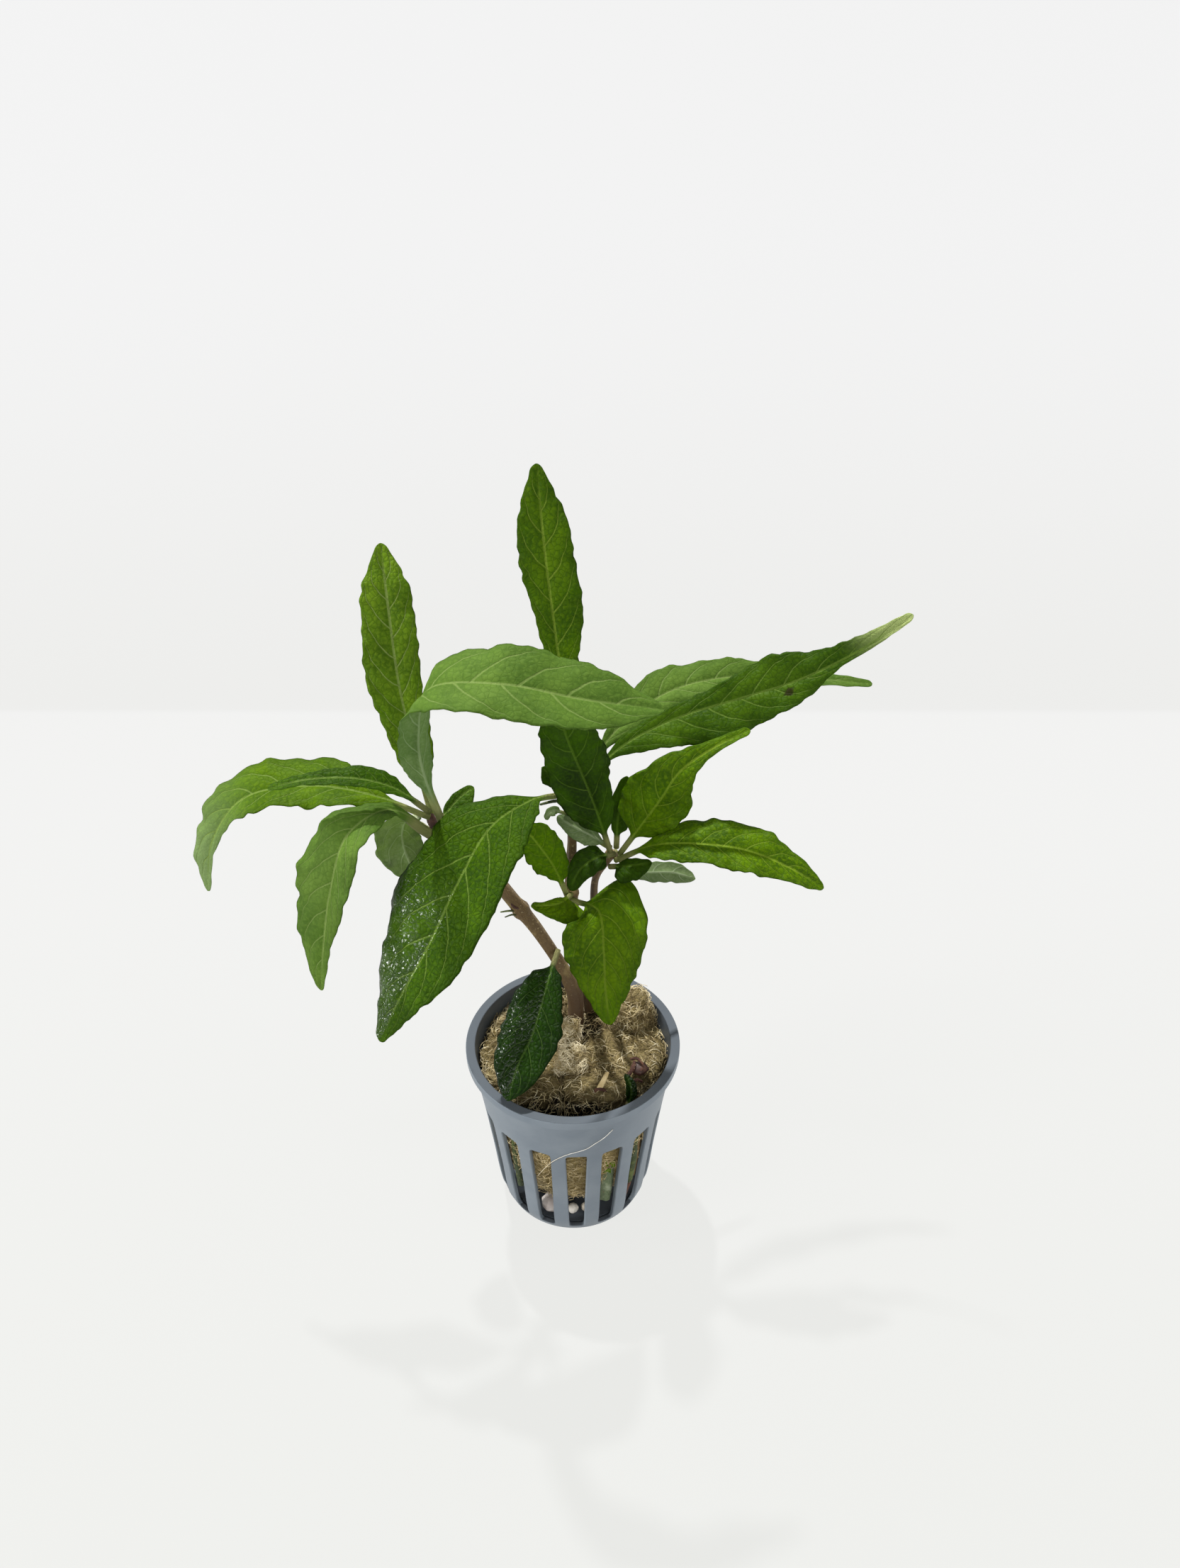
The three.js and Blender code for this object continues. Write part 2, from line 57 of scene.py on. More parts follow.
# Camera: the photo's frame in pixels, the fitted focal length and the place and pitch of the lens
PHOTO_WIDTH, PHOTO_HEIGHT = 1665, 2212
FOCAL_PIXELS = 1620
SENSOR_MM = 36
CAMERA_AT = (0.0040, -0.1922, 0.2440)
CAMERA_PITCH = math.radians(33.2)
CLIP_START = 0.01

# Pot, in millimetres as in the CAD
RIM_RADIUS = 25.0
POT_HEIGHT = 46.8
BASE_RADIUS = 17.2
WALL = 1.2
FLOOR = 1.6
FLOOR_RINGS = (12.0, 6.0, 0.5)
LIP_HEIGHT = 2.4
LIP_WIDTH = 1.1
LIP_FOOT = POT_HEIGHT - LIP_HEIGHT
SLOT_COUNT = 16
SLOT_START_ANGLE = math.radians(2.5)
SLOT_BOTTOM = 1.9
SLOT_TOP = 32.0
SLOT_WIDTH_BOTTOM = 3.6
SLOT_WIDTH_TOP = 5.1
SLOT_CORNER_BOTTOM = 0.6
SLOT_CORNER_TOP = 1.2
SLOT_MIDDLE = 10
SLOTTED_LOW, SLOTTED_HIGH = 1.0, 33.6
STEPS_ACROSS = 8
STEPS_UP = 18
SLOT_RINGS = ((0.0, 0.0), (0.5, 0.0), (0.9, 0.0), (1.0, 0.22))
BAND_HEIGHTS = (36, 39, 42)
WALL_OUTSIDE = [(BASE_RADIUS, 0.0), (18.7, 4.5), (20.1, 17.0), (22.3, 35.0), (RIM_RADIUS - LIP_WIDTH, LIP_FOOT)]
POT_CREASE = math.radians(18)

# Stage: the colours that it gives off, and its cut in millimetres
STAGE_ALBEDO = 0.04
FLOOR_NEAR = (0.775, 0.78, 0.755)
FLOOR_FAR = (0.81, 0.81, 0.80)
WALL_LOW = (0.81, 0.81, 0.795)
WALL_HIGH = (0.85, 0.85, 0.85)
STAGE_REACH = 900.0
STAGE_WALL_AT = 237.0
STAGE_WALL_TOP = 330.0
STAGE_BEND = 3.0
STAGE_SINK = 0.02

# Leaves, in millimetres and in shares of their length
PETIOLE_END = 0.1
PETIOLE_RADIUS = 0.65
PETIOLE_SUNK = 1.6
BLADE_FROM, BLADE_FADE = 0.07, 0.1
WIDTH_STATIONS = (0.2, 0.4, 0.6, 0.8)
TIP_HALF_WIDTH = 0.9
TIP_ROUNDING = 1.2
TIP_SHARE = 0.03
LEAF_ROWS = 100
TIP_ROWS = 12
LEAF_COLUMNS = 33
BLADE_THICKNESS = 0.3
EDGE_THINNING = 0.8
LOBE_DEPTH = 0.42
BLADE_FOLD, BLADE_CURL = 0.12, 0.05
QUILT_HEIGHT = 0.3
MIDRIB_GROOVE, GROOVE_HALF = 0.18, 0.7
MIDRIB_RIDGE, RIDGE_HALF = 0.4, 0.45
FULL_SIZE_HALF = 6
UV_PER_MM = 0.01


def leaf(look, facing, left, right, spine, wave=0.5, waves=5, veins=8, stalk=PETIOLE_RADIUS):
    return locals()


# Look, where the upper side faces, half widths at WIDTH_STATIONS, and the spine from the stem to the tip
LEAVES = {
    "leaf_left_upright": leaf("green", [(0.2, -0.8, 0.5), (0.1, -0.9, 0.4)],
        [3, 5.2, 6.2, 5.2], [3.2, 4.4, 4.8, 5], [(-29.5, 6.5, 107), (-32, 9, 120), (-34.5, 12.5, 133.5),
        (-36, 17.5, 147), (-37.5, 24, 159.5)], wave=0.7, waves=6),
    "leaf_left_arching": leaf("soft", [(-0.5, 0.6, 0.6), (-0.2, 0, 0.9), (0.1, -0.5, 0.85), (0.1, -0.5, 0.85)],
        [2.4, 3.2, 7.6, 7.6], [3.4, 4.2, 7, 6.8], [(-26.5, 1.8, 107.5), (-28.5, -3.5, 122.5),
        (-28, -9.5, 135.5), (-24, -15, 148), (-11, -19, 151), (3, -19, 148), (17, -17, 145)], stalk=0.85),
    "leaf_far_left": leaf("far", [(0, -0.2, 1), (-0.3, -0.3, 0.9), (-0.45, -0.7, 0.45)],
        [3.4, 6, 4.5, 2], [3, 7.5, 7, 5.6], [(-30.8, 4, 108), (-41.5, 3.5, 113.5), (-54, 5, 114.5),
        (-67, 3.5, 112.5), (-74.5, 1.5, 103.5), (-77.5, 0, 91)], wave=0.6),
    "leaf_far_left_narrow": leaf("narrow", [(0, -0.3, 1)],
        [1.8, 2.3, 2.2, 1.5], [2.4, 3.4, 2.5, 1.5], [(-30, 2.6, 110.5), (-35, -0.5, 117.5), (-42, -3, 121.5),
        (-50.5, -4, 122), (-59, -5, 120.5)], wave=0.4),
    "leaf_left_hanging": leaf("soft", [(0, -0.3, 1), (-0.4, -0.6, 0.7), (-0.5, -0.8, 0.3)],
        [2.2, 5, 5, 2.2], [2, 6.5, 8.7, 6.6], [(-30.4, 2.4, 105), (-36.5, -1.5, 113), (-43.5, -9.5, 112.5),
        (-47.5, -13.5, 101.5), (-50, -15, 89.5), (-52, -16, 77.5)], stalk=1.1),
    "leaf_front_large": leaf("glossy", [(-0.1, -0.2, 1), (-0.35, -0.55, 0.75), (-0.5, -0.7, 0.5)],
        [5, 10.4, 10.4, 6.3], [4.5, 10.4, 12, 7.6], [(-1.9, 12.4, 107.4), (-9, 2.5, 112), (-16, -6, 111.5),
        (-22, -14, 104), (-27.5, -20, 94), (-33.5, -23.5, 83.5), (-39, -25, 72)], wave=0.4, veins=7),
    "leaf_left_pale": leaf("pale_painted_light", [(-0.3, 0.5, 0.8), (-0.5, 0.8, 0.2), (-0.3, 0.9, -0.2)],
        [3.5, 6, 6, 3.5], [3, 4.5, 4.5, 3], [(-30.6, 5.6, 103.4), (-34.6, 8, 104.5), (-36.8, 9.4, 99),
        (-35.6, 9.6, 91), (-32.6, 9.6, 84)], veins=5),
    "leaf_left_small": leaf("narrow", [(0, -0.7, 0.7)],
        [1, 1.4, 1.6, 1.2], [1.6, 3.2, 3.6, 2.4], [(-27.2, 7.4, 104.6), (-25.6, 9.4, 106.2),
        (-23.3, 11.5, 107.8), (-20.9, 13, 109)], wave=0.3, veins=4),
    "leaf_center_upright": leaf("upright", [(0, -0.9, 0.4)],
        [2, 2.4, 4.2, 5.3], [2.6, 4, 6.2, 5.4], [(0.6, 15.6, 108.6), (-1, 17, 125.5), (-3, 20, 141.5),
        (-5, 24.5, 157.5), (-6.5, 30, 173.5)], wave=0.7, waves=6),
    "leaf_center_broad": leaf("dark", [(0, -0.85, 0.5)],
        [4.4, 6.6, 6.5, 5.2], [3, 4.9, 6.4, 5.6], [(8.2, 10.6, 94.4), (5.5, 8.5, 105.5), (2.5, 6.5, 116),
        (-0.5, 4.5, 126), (-3, 3, 137)], veins=6),
    "leaf_right_young": leaf("dark", [(0, -0.8, 0.6)],
        [1.2, 1.7, 2, 1.6], [2, 3, 3.5, 2.8], [(9.9, 13.5, 94.2), (10.1, 14.1, 99.6), (10.8, 14.9, 105),
        (12, 15.8, 109.8)], wave=0.3, veins=5),
    "leaf_right_twisting": leaf("bright", [(0, -0.7, 0.7), (0.2, -0.7, 0.7), (0.1, -0.4, 0.9)],
        [6.4, 8, 4.8, 1.9], [4.2, 6.4, 3.9, 1.4], [(11.4, 11.6, 93.6), (15.2, 11, 100.5), (19, 11, 107),
        (23, 12, 113.5), (29.5, 13, 118.5), (37.5, 15, 122)], veins=6),
    "leaf_right_low": leaf("bright", [(0, -0.3, 1), (0.1, -0.4, 0.9), (0.4, -0.5, 0.7)],
        [2.6, 6, 6.2, 4], [3.6, 5.2, 5.5, 3.9], [(10.8, 10.8, 91.6), (18, 7.6, 97.5), (27.5, 6, 99),
        (37, 4.5, 98.5), (46, 2.6, 95.5), (54, 1, 91)]),
    "leaf_right_inner": leaf("dark", [(0, -0.6, 0.8), (0, -0.7, 0.7)],
        [1.2, 1.6, 1.6, 1.2], [3, 3.8, 3.6, 2.4], [(9.4, 11.2, 89), (11.6, 8.7, 91), (14.4, 7.6, 92.2),
        (17.4, 7, 93.2)], wave=0.2, veins=4),
    "leaf_right_long": leaf("long", [(0, -0.7, 0.7), (0, -0.75, 0.65), (0, -0.7, 0.7)],
        [2, 3.2, 6.8, 3.2], [3.2, 7.4, 5.8, 1.1], [(1.8, 14.8, 107.8), (11, 17.5, 116.5), (23, 21, 121.5),
        (36, 23, 125), (48.5, 24, 129), (60.5, 24, 136), (70, 23, 144.5)], wave=0.8, waves=6, veins=9),
    "leaf_right_pale": leaf("pale", [(0, 0.7, -0.6)],
        [0.9, 1.6, 2.2, 2.2], [0.9, 1.8, 2.4, 2.3], [(10.2, 14.6, 89.6), (13.3, 16.5, 83.4),
        (17.5, 18.5, 81.7), (23.4, 20.5, 80.1), (28.6, 21.5, 77.5)], wave=0.2, veins=4),
    "leaf_center_small": leaf("dark", [(-0.2, -0.6, 0.8), (-0.2, -0.8, 0.5)],
        [2.4, 3.2, 3, 2.2], [2.4, 3.2, 2.8, 1.8], [(8.2, 10, 93.1), (5.2, 7.4, 94.2), (1.8, 6, 92),
        (-0.4, 5.4, 86.8)], wave=0.2, veins=5),
    "leaf_center_left": leaf("bright", [(-0.2, -0.8, 0.6)],
        [2.6, 4, 4.2, 3.6], [2.4, 4, 4.7, 4], [(-1.8, 10.2, 83.6), (-4, 9.4, 90.5), (-7.4, 8.4, 97.5),
        (-11, 7, 104)], wave=0.4, veins=5),
    "leaf_center_pale": leaf("pale", [(0, 0.6, -0.7)],
        [1.4, 2.2, 2.4, 1.8], [1.6, 2.4, 2.4, 1.8], [(7.4, 12, 94.4), (4.2, 10.6, 97.8), (0.9, 10, 100.3),
        (-3.1, 10.4, 103.1)], veins=5),
    "leaf_center_stub": leaf("dark", [(0, -0.8, 0.6)],
        [1.4, 2.2, 2.4, 1.8], [1.2, 2, 2.2, 1.6], [(-1.6, 14, 108.6), (-4, 12.6, 112),
        (-6, 12, 114.5)], wave=0.2, veins=4),
    "leaf_front_bright": leaf("bright", [(0.1, -0.5, 0.8), (0, -0.6, 0.7), (0, -0.8, 0.5)],
        [9.4, 9.6, 7.4, 4.2], [5.5, 8.8, 7.2, 4.2], [(0.8, 9.4, 80.6), (6, 2, 83.5), (7, -4, 77),
        (7.4, -7, 69), (8.4, -9, 60.5)], wave=0.3, veins=6),
    "leaf_front_pointed": leaf("bright", [(0, -0.6, 0.8)],
        [5.4, 6, 4, 2], [1.3, 1.5, 1.3, 0.8], [(-0.9, 9.2, 82), (-2.4, 5.8, 83), (-5, 3.4, 84.2),
        (-8.7, 2, 85.3)], wave=0.2, veins=4),
    "leaf_right_back": leaf("soft", [(0, -0.6, 0.8), (0, -0.5, 0.85), (0, -0.4, 0.9)],
        [2, 5.6, 4.4, 2.4], [2.4, 4.3, 4, 2.4], [(1.4, 15.9, 107.4), (10, 23, 117.5), (22, 32, 122),
        (37, 37, 123), (52.5, 39, 121.5), (68, 38, 120.5)], wave=0.6, veins=9),
    "leaf_pot_dark": leaf("wet", [(-0.2, -0.5, 0.8), (-0.2, -0.7, 0.7), (-0.2, -0.7, 0.7)],
        [3, 5, 6.4, 6], [4, 7, 7, 5.6], [(-3.8, 7, 66.4), (-5.2, 2.4, 64.5), (-7, -3, 60.5), (-9, -8.5, 56.5),
        (-12, -15, 53.6), (-14, -21, 49.6)], wave=0.3, veins=6),
}


# Curves

def hermite(w, start, end, leaving, arriving):
    return ((2 * w**3 - 3 * w**2 + 1) * start + (w**3 - 2 * w**2 + w) * leaving
            + (3 * w**2 - 2 * w**3) * end + (w**3 - w**2) * arriving)


def catmull_rom(points, ts):
    """Centripetal Catmull-Rom through points, at the parameters ts, as the CAD draws it."""
    pts = np.asarray(points, float)
    count = len(pts)
    out = []
    for t in ts:
        place = min(t, 1.0) * (count - 1)
        i = min(int(place), count - 2)
        w = place - i
        p1, p2 = pts[i], pts[i + 1]
        p0 = pts[i - 1] if i > 0 else 2 * p1 - p2
        p3 = pts[i + 2] if i + 2 < count else 2 * p2 - p1
        d0, d1, d2 = (max(np.linalg.norm(b - a), 1e-6) ** 0.5 for a, b in ((p0, p1), (p1, p2), (p2, p3)))
        m1 = ((p1 - p0) / d0 - (p2 - p0) / (d0 + d1) + (p2 - p1) / d1) * d1
        m2 = ((p2 - p1) / d1 - (p3 - p1) / (d1 + d2) + (p3 - p2) / d2) * d1
        out.append(hermite(w, p1, p2, m1, m2))
    return np.array(out)


def unit(v):
    return v / np.maximum(np.linalg.norm(v, axis=-1, keepdims=True), 1e-9)


def smooth_through(xs, ys, x):
    """Smooth curve through the points that never overshoots them."""
    xs, ys = np.asarray(xs, float), np.asarray(ys, float)
    step = np.diff(ys) / np.diff(xs)
    slope = np.zeros(len(xs))
    same = step[:-1] * step[1:] > 0
    slope[1:-1][same] = 2 * step[:-1][same] * step[1:][same] / (step[:-1] + step[1:])[same]
    slope[0], slope[-1] = step[0], step[-1]
    i = np.clip(np.searchsorted(xs, x) - 1, 0, len(xs) - 2)
    h = xs[i + 1] - xs[i]
    return hermite((x - xs[i]) / h, ys[i], ys[i + 1], h * slope[i], h * slope[i + 1])


# Mesh helpers

def show(obj):
    bpy.context.scene.collection.objects.link(obj)
    return obj


def smooth(mesh):
    mesh.polygons.foreach_set("use_smooth", [True] * len(mesh.polygons))


def new_object(name, vertices, faces, materials):
    """A smooth object from points in millimetres."""
    mesh = bpy.data.meshes.new(name)
    points = [tuple(point) for point in np.asarray(vertices) * MM]
    mesh.from_pydata(points, [], [tuple(int(i) for i in face) for face in faces])
    mesh.validate()
    smooth(mesh)
    for material in materials:
        mesh.materials.append(material)
    return show(bpy.data.objects.new(name, mesh))


def add_uv(mesh, title, u, v):
    """UV layer from two values for each vertex."""
    loops = np.zeros(len(mesh.loops), int)
    mesh.loops.foreach_get("vertex_index", loops)
    layer = mesh.uv_layers.new(name=title)
    layer.data.foreach_set("uv", np.stack([u[loops], v[loops]], -1).reshape(-1))


def read_vectors(items, attribute):
    values = np.zeros(len(items) * 3)
    items.foreach_get(attribute, values)
    return values.reshape(-1, 3)


def ring_quads(a, b):
    """Faces between two closed rings of vertex numbers."""
    count = len(a)
    return [(a[j], a[(j + 1) % count], b[(j + 1) % count], b[j]) for j in range(count)]


def tube_faces(rings):
    """Faces of a tube through rings of vertex numbers, closed at both ends."""
    faces = [quad for a, b in zip(rings[:-1], rings[1:]) for quad in ring_quads(a, b)]
    return [*faces, rings[0][::-1], rings[-1]]


def dress(obj, slot, node=None):
    """Ties a piece to the body, in place of its CAD node where it has one."""
    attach(obj, "root")
    if node:
        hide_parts(node)


# Material helpers

def srgb(r, g, b):
    """Linear colour from 0 to 255 display values."""
    return tuple((c / 255 / 12.92) if c < 10 else ((c / 255 + 0.055) / 1.055) ** 2.4 for c in (r, g, b))


class Nodes:
    """A short way to write shader graphs. A value is a socket, a number or a colour from 0 to 255."""

    def __init__(self, name, to_linear=srgb):
        self.to_linear = to_linear
        self.material = bpy.data.materials.new(name)
        self.material.use_nodes = True
        self.tree = self.material.node_tree
        self.tree.nodes.clear()

    def add(self, kind, **settings):
        node = self.tree.nodes.new(kind)
        for key, value in settings.items():
            setattr(node, key, value)
        return node

    def put(self, socket, value):
        if isinstance(value, (int, float)):
            socket.default_value = value
        elif isinstance(value, tuple):
            socket.default_value = (*self.to_linear(*value), 1.0)
        else:
            self.tree.links.new(value, socket)

    def math(self, operation, a, b=0.0):
        node = self.add("ShaderNodeMath", operation=operation)
        self.put(node.inputs[0], a)
        self.put(node.inputs[1], b)
        return node.outputs[0]

    def times(self, a, b):
        return self.math("MULTIPLY", a, b)

    def plus(self, a, b):
        return self.math("ADD", a, b)

    def minus(self, a, b):
        return self.math("SUBTRACT", a, b)

    def size_of(self, a):
        return self.math("ABSOLUTE", a)

    def band(self, value, low, high, out_low=0.0, out_high=1.0):
        """Smooth step from low to high."""
        node = self.add("ShaderNodeMapRange", interpolation_type="SMOOTHSTEP")
        keys = ("Value", "From Min", "From Max", "To Min", "To Max")
        for key, number in zip(keys, (value, low, high, out_low, out_high)):
            self.put(node.inputs[key], number)
        return node.outputs[0]

    def mix(self, factor, a, b):
        node = self.add("ShaderNodeMix", data_type="RGBA")
        for index, value in ((0, factor), (6, a), (7, b)):
            self.put(node.inputs[index], value)
        return node.outputs[2]

    def tint(self, colour, mask, strength, over):
        """Lays a colour over another where the mask is set."""
        return self.mix(self.times(mask, strength), colour, over)

    def here(self):
        return self.add("ShaderNodeTexCoord").outputs["Object"]

    def uv(self, layer):
        return self.add("ShaderNodeUVMap", uv_map=layer).outputs[0]

    def axes(self, vector):
        node = self.add("ShaderNodeSeparateXYZ")
        self.put(node.inputs[0], vector)
        return node.outputs

    def noise(self, vector, scale, detail, roughness=0.55):
        node = self.add("ShaderNodeTexNoise")
        keys = ("Vector", "Scale", "Detail", "Roughness")
        for key, value in zip(keys, (vector, scale, detail, roughness)):
            self.put(node.inputs[key], value)
        return node.outputs["Fac"]

    def stretch(self, vector, scale):
        node = self.add("ShaderNodeMapping")
        node.inputs["Scale"].default_value = scale
        self.put(node.inputs["Vector"], vector)
        return node.outputs[0]

    def bump(self, height, distance, strength, below=None):
        node = self.add("ShaderNodeBump")
        for key, value in (("Height", height), ("Distance", distance), ("Strength", strength)):
            self.put(node.inputs[key], value)
        if below is not None:
            self.put(node.inputs["Normal"], below)
        return node.outputs[0]

    def surface(self, values):
        shader = self.add("ShaderNodeBsdfPrincipled")
        for key, value in values.items():
            self.put(shader.inputs[key], value)
        return shader.outputs[0]

    def finish(self, shader):
        self.put(self.add("ShaderNodeOutputMaterial").inputs["Surface"], shader)
        return self.material


def look(shade, body, light, vein, rough, relief, through=(140, 186, 0), wet_from=None, tip=None, tip_from=None,
         spot=None):
    """A leaf's colours from its shaded to its light parts, its gloss, and the light that comes through it."""
    return locals()


LEAF_LOOKS = {
    "green": look((74, 104, 10), (104, 138, 20), (130, 160, 36), (160, 180, 100), 0.55, 0.8),
    "upright": look((48, 76, 0), (72, 102, 0), (98, 128, 2), (134, 156, 54), 0.6, 0.8),
    "bright": look((58, 88, 0), (90, 124, 0), (118, 150, 2), (138, 164, 48), 0.55, 0.6),
    "soft": look((80, 110, 38), (98, 128, 48), (114, 144, 58), (140, 162, 88), 0.65, 0.4),
    "far": look((66, 96, 0), (88, 120, 2), (108, 138, 12), (136, 160, 76), 0.6, 0.5, tip=(134, 158, 100),
                tip_from=0.5),
    "narrow": look((42, 70, 2), (60, 92, 6), (82, 114, 18), (120, 146, 66), 0.55, 0.8),
    "glossy": look((42, 70, 0), (60, 92, 0), (84, 116, 2), (124, 150, 62), 0.6, 1.2, wet_from=0.46),
    "long": look((42, 70, 0), (58, 88, 0), (80, 110, 8), (116, 142, 56), 0.55, 0.6, tip=(196, 210, 136),
                 tip_from=0.78, spot=(0.63, 0.68)),
    "dark": look((22, 42, 0), (38, 64, 0), (56, 86, 2), (88, 116, 34), 0.55, 0.6, (132, 172, 0)),
    "wet": look((12, 34, 0), (24, 52, 0), (38, 70, 2), (88, 118, 50), 0.5, 1.2, (50, 90, 0), wet_from=0.1),
    "tuft": look((70, 110, 4), (110, 150, 10), (160, 196, 40), (170, 196, 80), 0.45, 0.6),
    "pale": look((92, 112, 70), (118, 136, 90), (136, 152, 110), (162, 176, 138), 0.65, 0.3, (150, 180, 70)),
    # A brighter copy of the pale look, with painted light for a leaf that lies in shade
    "pale_painted_light": look((196, 206, 162), (214, 222, 180), (224, 230, 194), (232, 236, 206), 0.65, 0.4,
                     (190, 212, 120)),
}


THROUGH_TINT, THROUGH_SHARE = 0.7, 0.42
WET_ROUGHNESS, WET_COAT, WET_COAT_ROUGHNESS = 0.13, 2.2, 0.12


def leaf_material(title):
    """Veins, blotches and wet patches, with light through the blade. Pale is the underside."""
    looks = LEAF_LOOKS[title]
    underside = title == "pale"
    n = Nodes(f"leaf_{title}_{'under' if underside else 'upper'}")
    along, side, _ = n.axes(n.uv("blade"))
    vein, across, _ = n.axes(n.uv("veins"))
    size = n.uv("size")
    out = n.size_of(n.minus(n.times(side, 2.0), 1.0))
    wander = n.times(n.minus(n.noise(size, 22.0, 2.0), 0.5), 0.12)
    away = n.size_of(n.minus(n.math("FRACT", n.plus(vein, wander)), 0.5))
    lateral = n.times(n.band(away, 0.445, 0.49), n.band(out, 1.02, 0.7))
    from_midrib = n.size_of(n.times(n.minus(across, 0.5), 1 / UV_PER_MM))
    midrib = n.times(n.band(from_midrib, 0.34, 0.14), n.band(along, 1.0, 0.8))
    net = n.add("ShaderNodeTexVoronoi", feature="DISTANCE_TO_EDGE")
    n.put(net.inputs["Scale"], 90.0)
    n.put(net.inputs["Vector"], size)
    cells = net.outputs["Distance"]
    blotch = n.noise(size, 9.0, 4.0)
    fine = n.noise(size, 130.0, 4.0)

    colour = n.mix(n.band(blotch, 0.34, 0.6), looks["shade"], looks["body"])
    # What each wash follows, the span that it fades in over, its strength and its colour
    washes = [
        (blotch, (0.5, 0.7), 0.7, "light"),
        (fine, (0.42, 0.64), 0.5, "light"),
        (cells, (0.09, 0.0), 0.5, "shade"),
        (out, (0.62, 1.0), 0.45, "shade"),
        (away, (0.28, 0.44), 0.35, "shade"),
    ]
    for value, span, strength, part in washes:
        colour = n.tint(colour, n.band(value, *span), strength, looks[part])
    if looks["tip"]:
        colour = n.mix(n.band(along, looks["tip_from"], 1.0), colour, looks["tip"])
    colour = n.tint(colour, lateral, 0.65, looks["vein"])
    colour = n.tint(colour, midrib, 0.7, looks["vein"])
    if looks["spot"]:
        spot_along, spot_side = looks["spot"]
        near = n.plus(n.math("POWER", n.minus(along, spot_along), 2.0),
                      n.math("POWER", n.times(n.minus(side, spot_side), 0.18), 2.0))
        ragged = n.times(near, n.band(fine, 0.2, 0.8, 0.4, 2.2))
        colour = n.mix(n.band(ragged, 0.0004, 0.00008), colour, (44, 34, 12))
    colour = n.tint(colour, n.band(along, 0.13, 0.06), 0.8, (158, 152, 104))

    relief = n.plus(n.times(fine, 0.5), n.times(n.math("POWER", cells, 0.5), 1.2))
    relief = n.plus(relief, n.times(lateral, 0.8 if underside else -0.8))
    bumped = n.bump(relief, 0.0003 * looks["relief"], 0.8)
    values = {"Base Color": colour, "Roughness": looks["rough"], "Specular IOR Level": 0.1, "Normal": bumped}
    if looks["wet_from"]:
        patches = n.times(n.band(n.noise(size, 12.0, 3.0), 0.4, 0.52), looks["rough"] - WET_ROUGHNESS)
        lengthwise = n.band(along, looks["wet_from"], looks["wet_from"] + 0.2)
        wetness = n.times(patches, n.times(lengthwise, n.band(side, 0.4, 0.54)))
        values.update({"Roughness": n.minus(looks["rough"], wetness), "Coat Weight": n.times(wetness, WET_COAT),
                       "Coat Roughness": WET_COAT_ROUGHNESS, "Coat Normal": bumped})
    glow = n.add("ShaderNodeBsdfTranslucent")
    n.put(glow.inputs["Color"], n.mix(THROUGH_TINT, colour, looks["through"]))
    both = n.add("ShaderNodeMixShader")
    for socket, value in zip(both.inputs, (THROUGH_SHARE, n.surface(values), glow.outputs[0])):
        n.put(socket, value)
    return n.finish(both.outputs[0])


def stem_material(name, base, dark, light, speck, foot=0.0):
    """Ridged bark with specks, with painted shade of strength foot low down, where it goes down into the pot.
    """
    n = Nodes(name)
    here = n.here()
    ridges = n.noise(n.stretch(n.uv("bark"), (3.0, 46.0, 1.0)), 3.0, 4.0, 0.65)
    blotch = n.noise(here, 260.0, 4.0)
    colour = n.mix(n.band(ridges, 0.35, 0.65), dark, base)
    colour = n.tint(colour, n.band(blotch, 0.5, 0.72), 0.7, light)
    colour = n.tint(colour, n.band(n.noise(here, 1500.0, 2.0), 0.62, 0.74), 0.8, speck)
    # Painted shade on the stems' lower parts, where they go down into the pot
    if foot:
        colour = n.tint(colour, n.band(n.axes(here)[2], 0.064, 0.05), foot, dark)
    normal = n.bump(ridges, 0.0004, 0.8, n.bump(blotch, 0.0002, 0.4))
    return n.finish(n.surface({"Base Color": colour, "Roughness": n.band(blotch, 0.3, 0.7, 0.5, 0.75),
                               "Normal": normal}))


def pot_material():
    """Cloudy, scuffed plastic, duller on what faces up, with painted shade that darkens what faces up and the
    inside.
    """
    n = Nodes("pot_plastic")
    here = n.here()
    cloud = n.noise(here, 90.0, 3.0)
    grain = n.noise(here, 2600.0, 2.0)
    scuff = n.noise(n.stretch(here, (1.0, 1.0, 9.0)), 420.0, 5.0, 0.7)
    x, y, _ = n.axes(here)
    facing_x, facing_y, facing_up = n.axes(n.add("ShaderNodeNewGeometry").outputs["Normal"])
    outward = n.plus(n.times(x, facing_x), n.times(y, facing_y))
    colour = n.mix(n.band(cloud, 0.3, 0.7), (108, 118, 127), (124, 133, 140))
    colour = n.tint(colour, n.band(scuff, 0.62, 0.74), 0.35, (156, 162, 167))
    # Painted shade: what faces up is darkened
    colour = n.tint(colour, n.band(facing_up, 0.3, 0.9), 0.8, (62, 67, 72))
    # Painted shade: faces turned in towards the middle, the pot's inside, are darkened
    colour = n.tint(colour, n.band(outward, -0.004, -0.012), 0.75, (34, 37, 40))
    rough = n.plus(n.band(cloud, 0.25, 0.75, 0.38, 0.52), n.times(n.band(facing_up, 0.5, 0.95), 0.4))
    normal = n.bump(grain, 0.00005, 0.5, n.bump(scuff, 0.00008, 0.3))
    return n.finish(n.surface({"Base Color": colour, "Roughness": rough, "Specular IOR Level": 0.3,
                               "Normal": normal}))


# Rockwool, in metres: the heights over which painted light fades in low down behind the slots, and the middle
# of the stems' feet, round which shade is painted
SLOT_LIGHT_SPAN = (0.034, 0.028)
STEM_FEET_AT = (0.0028, 0.0085)


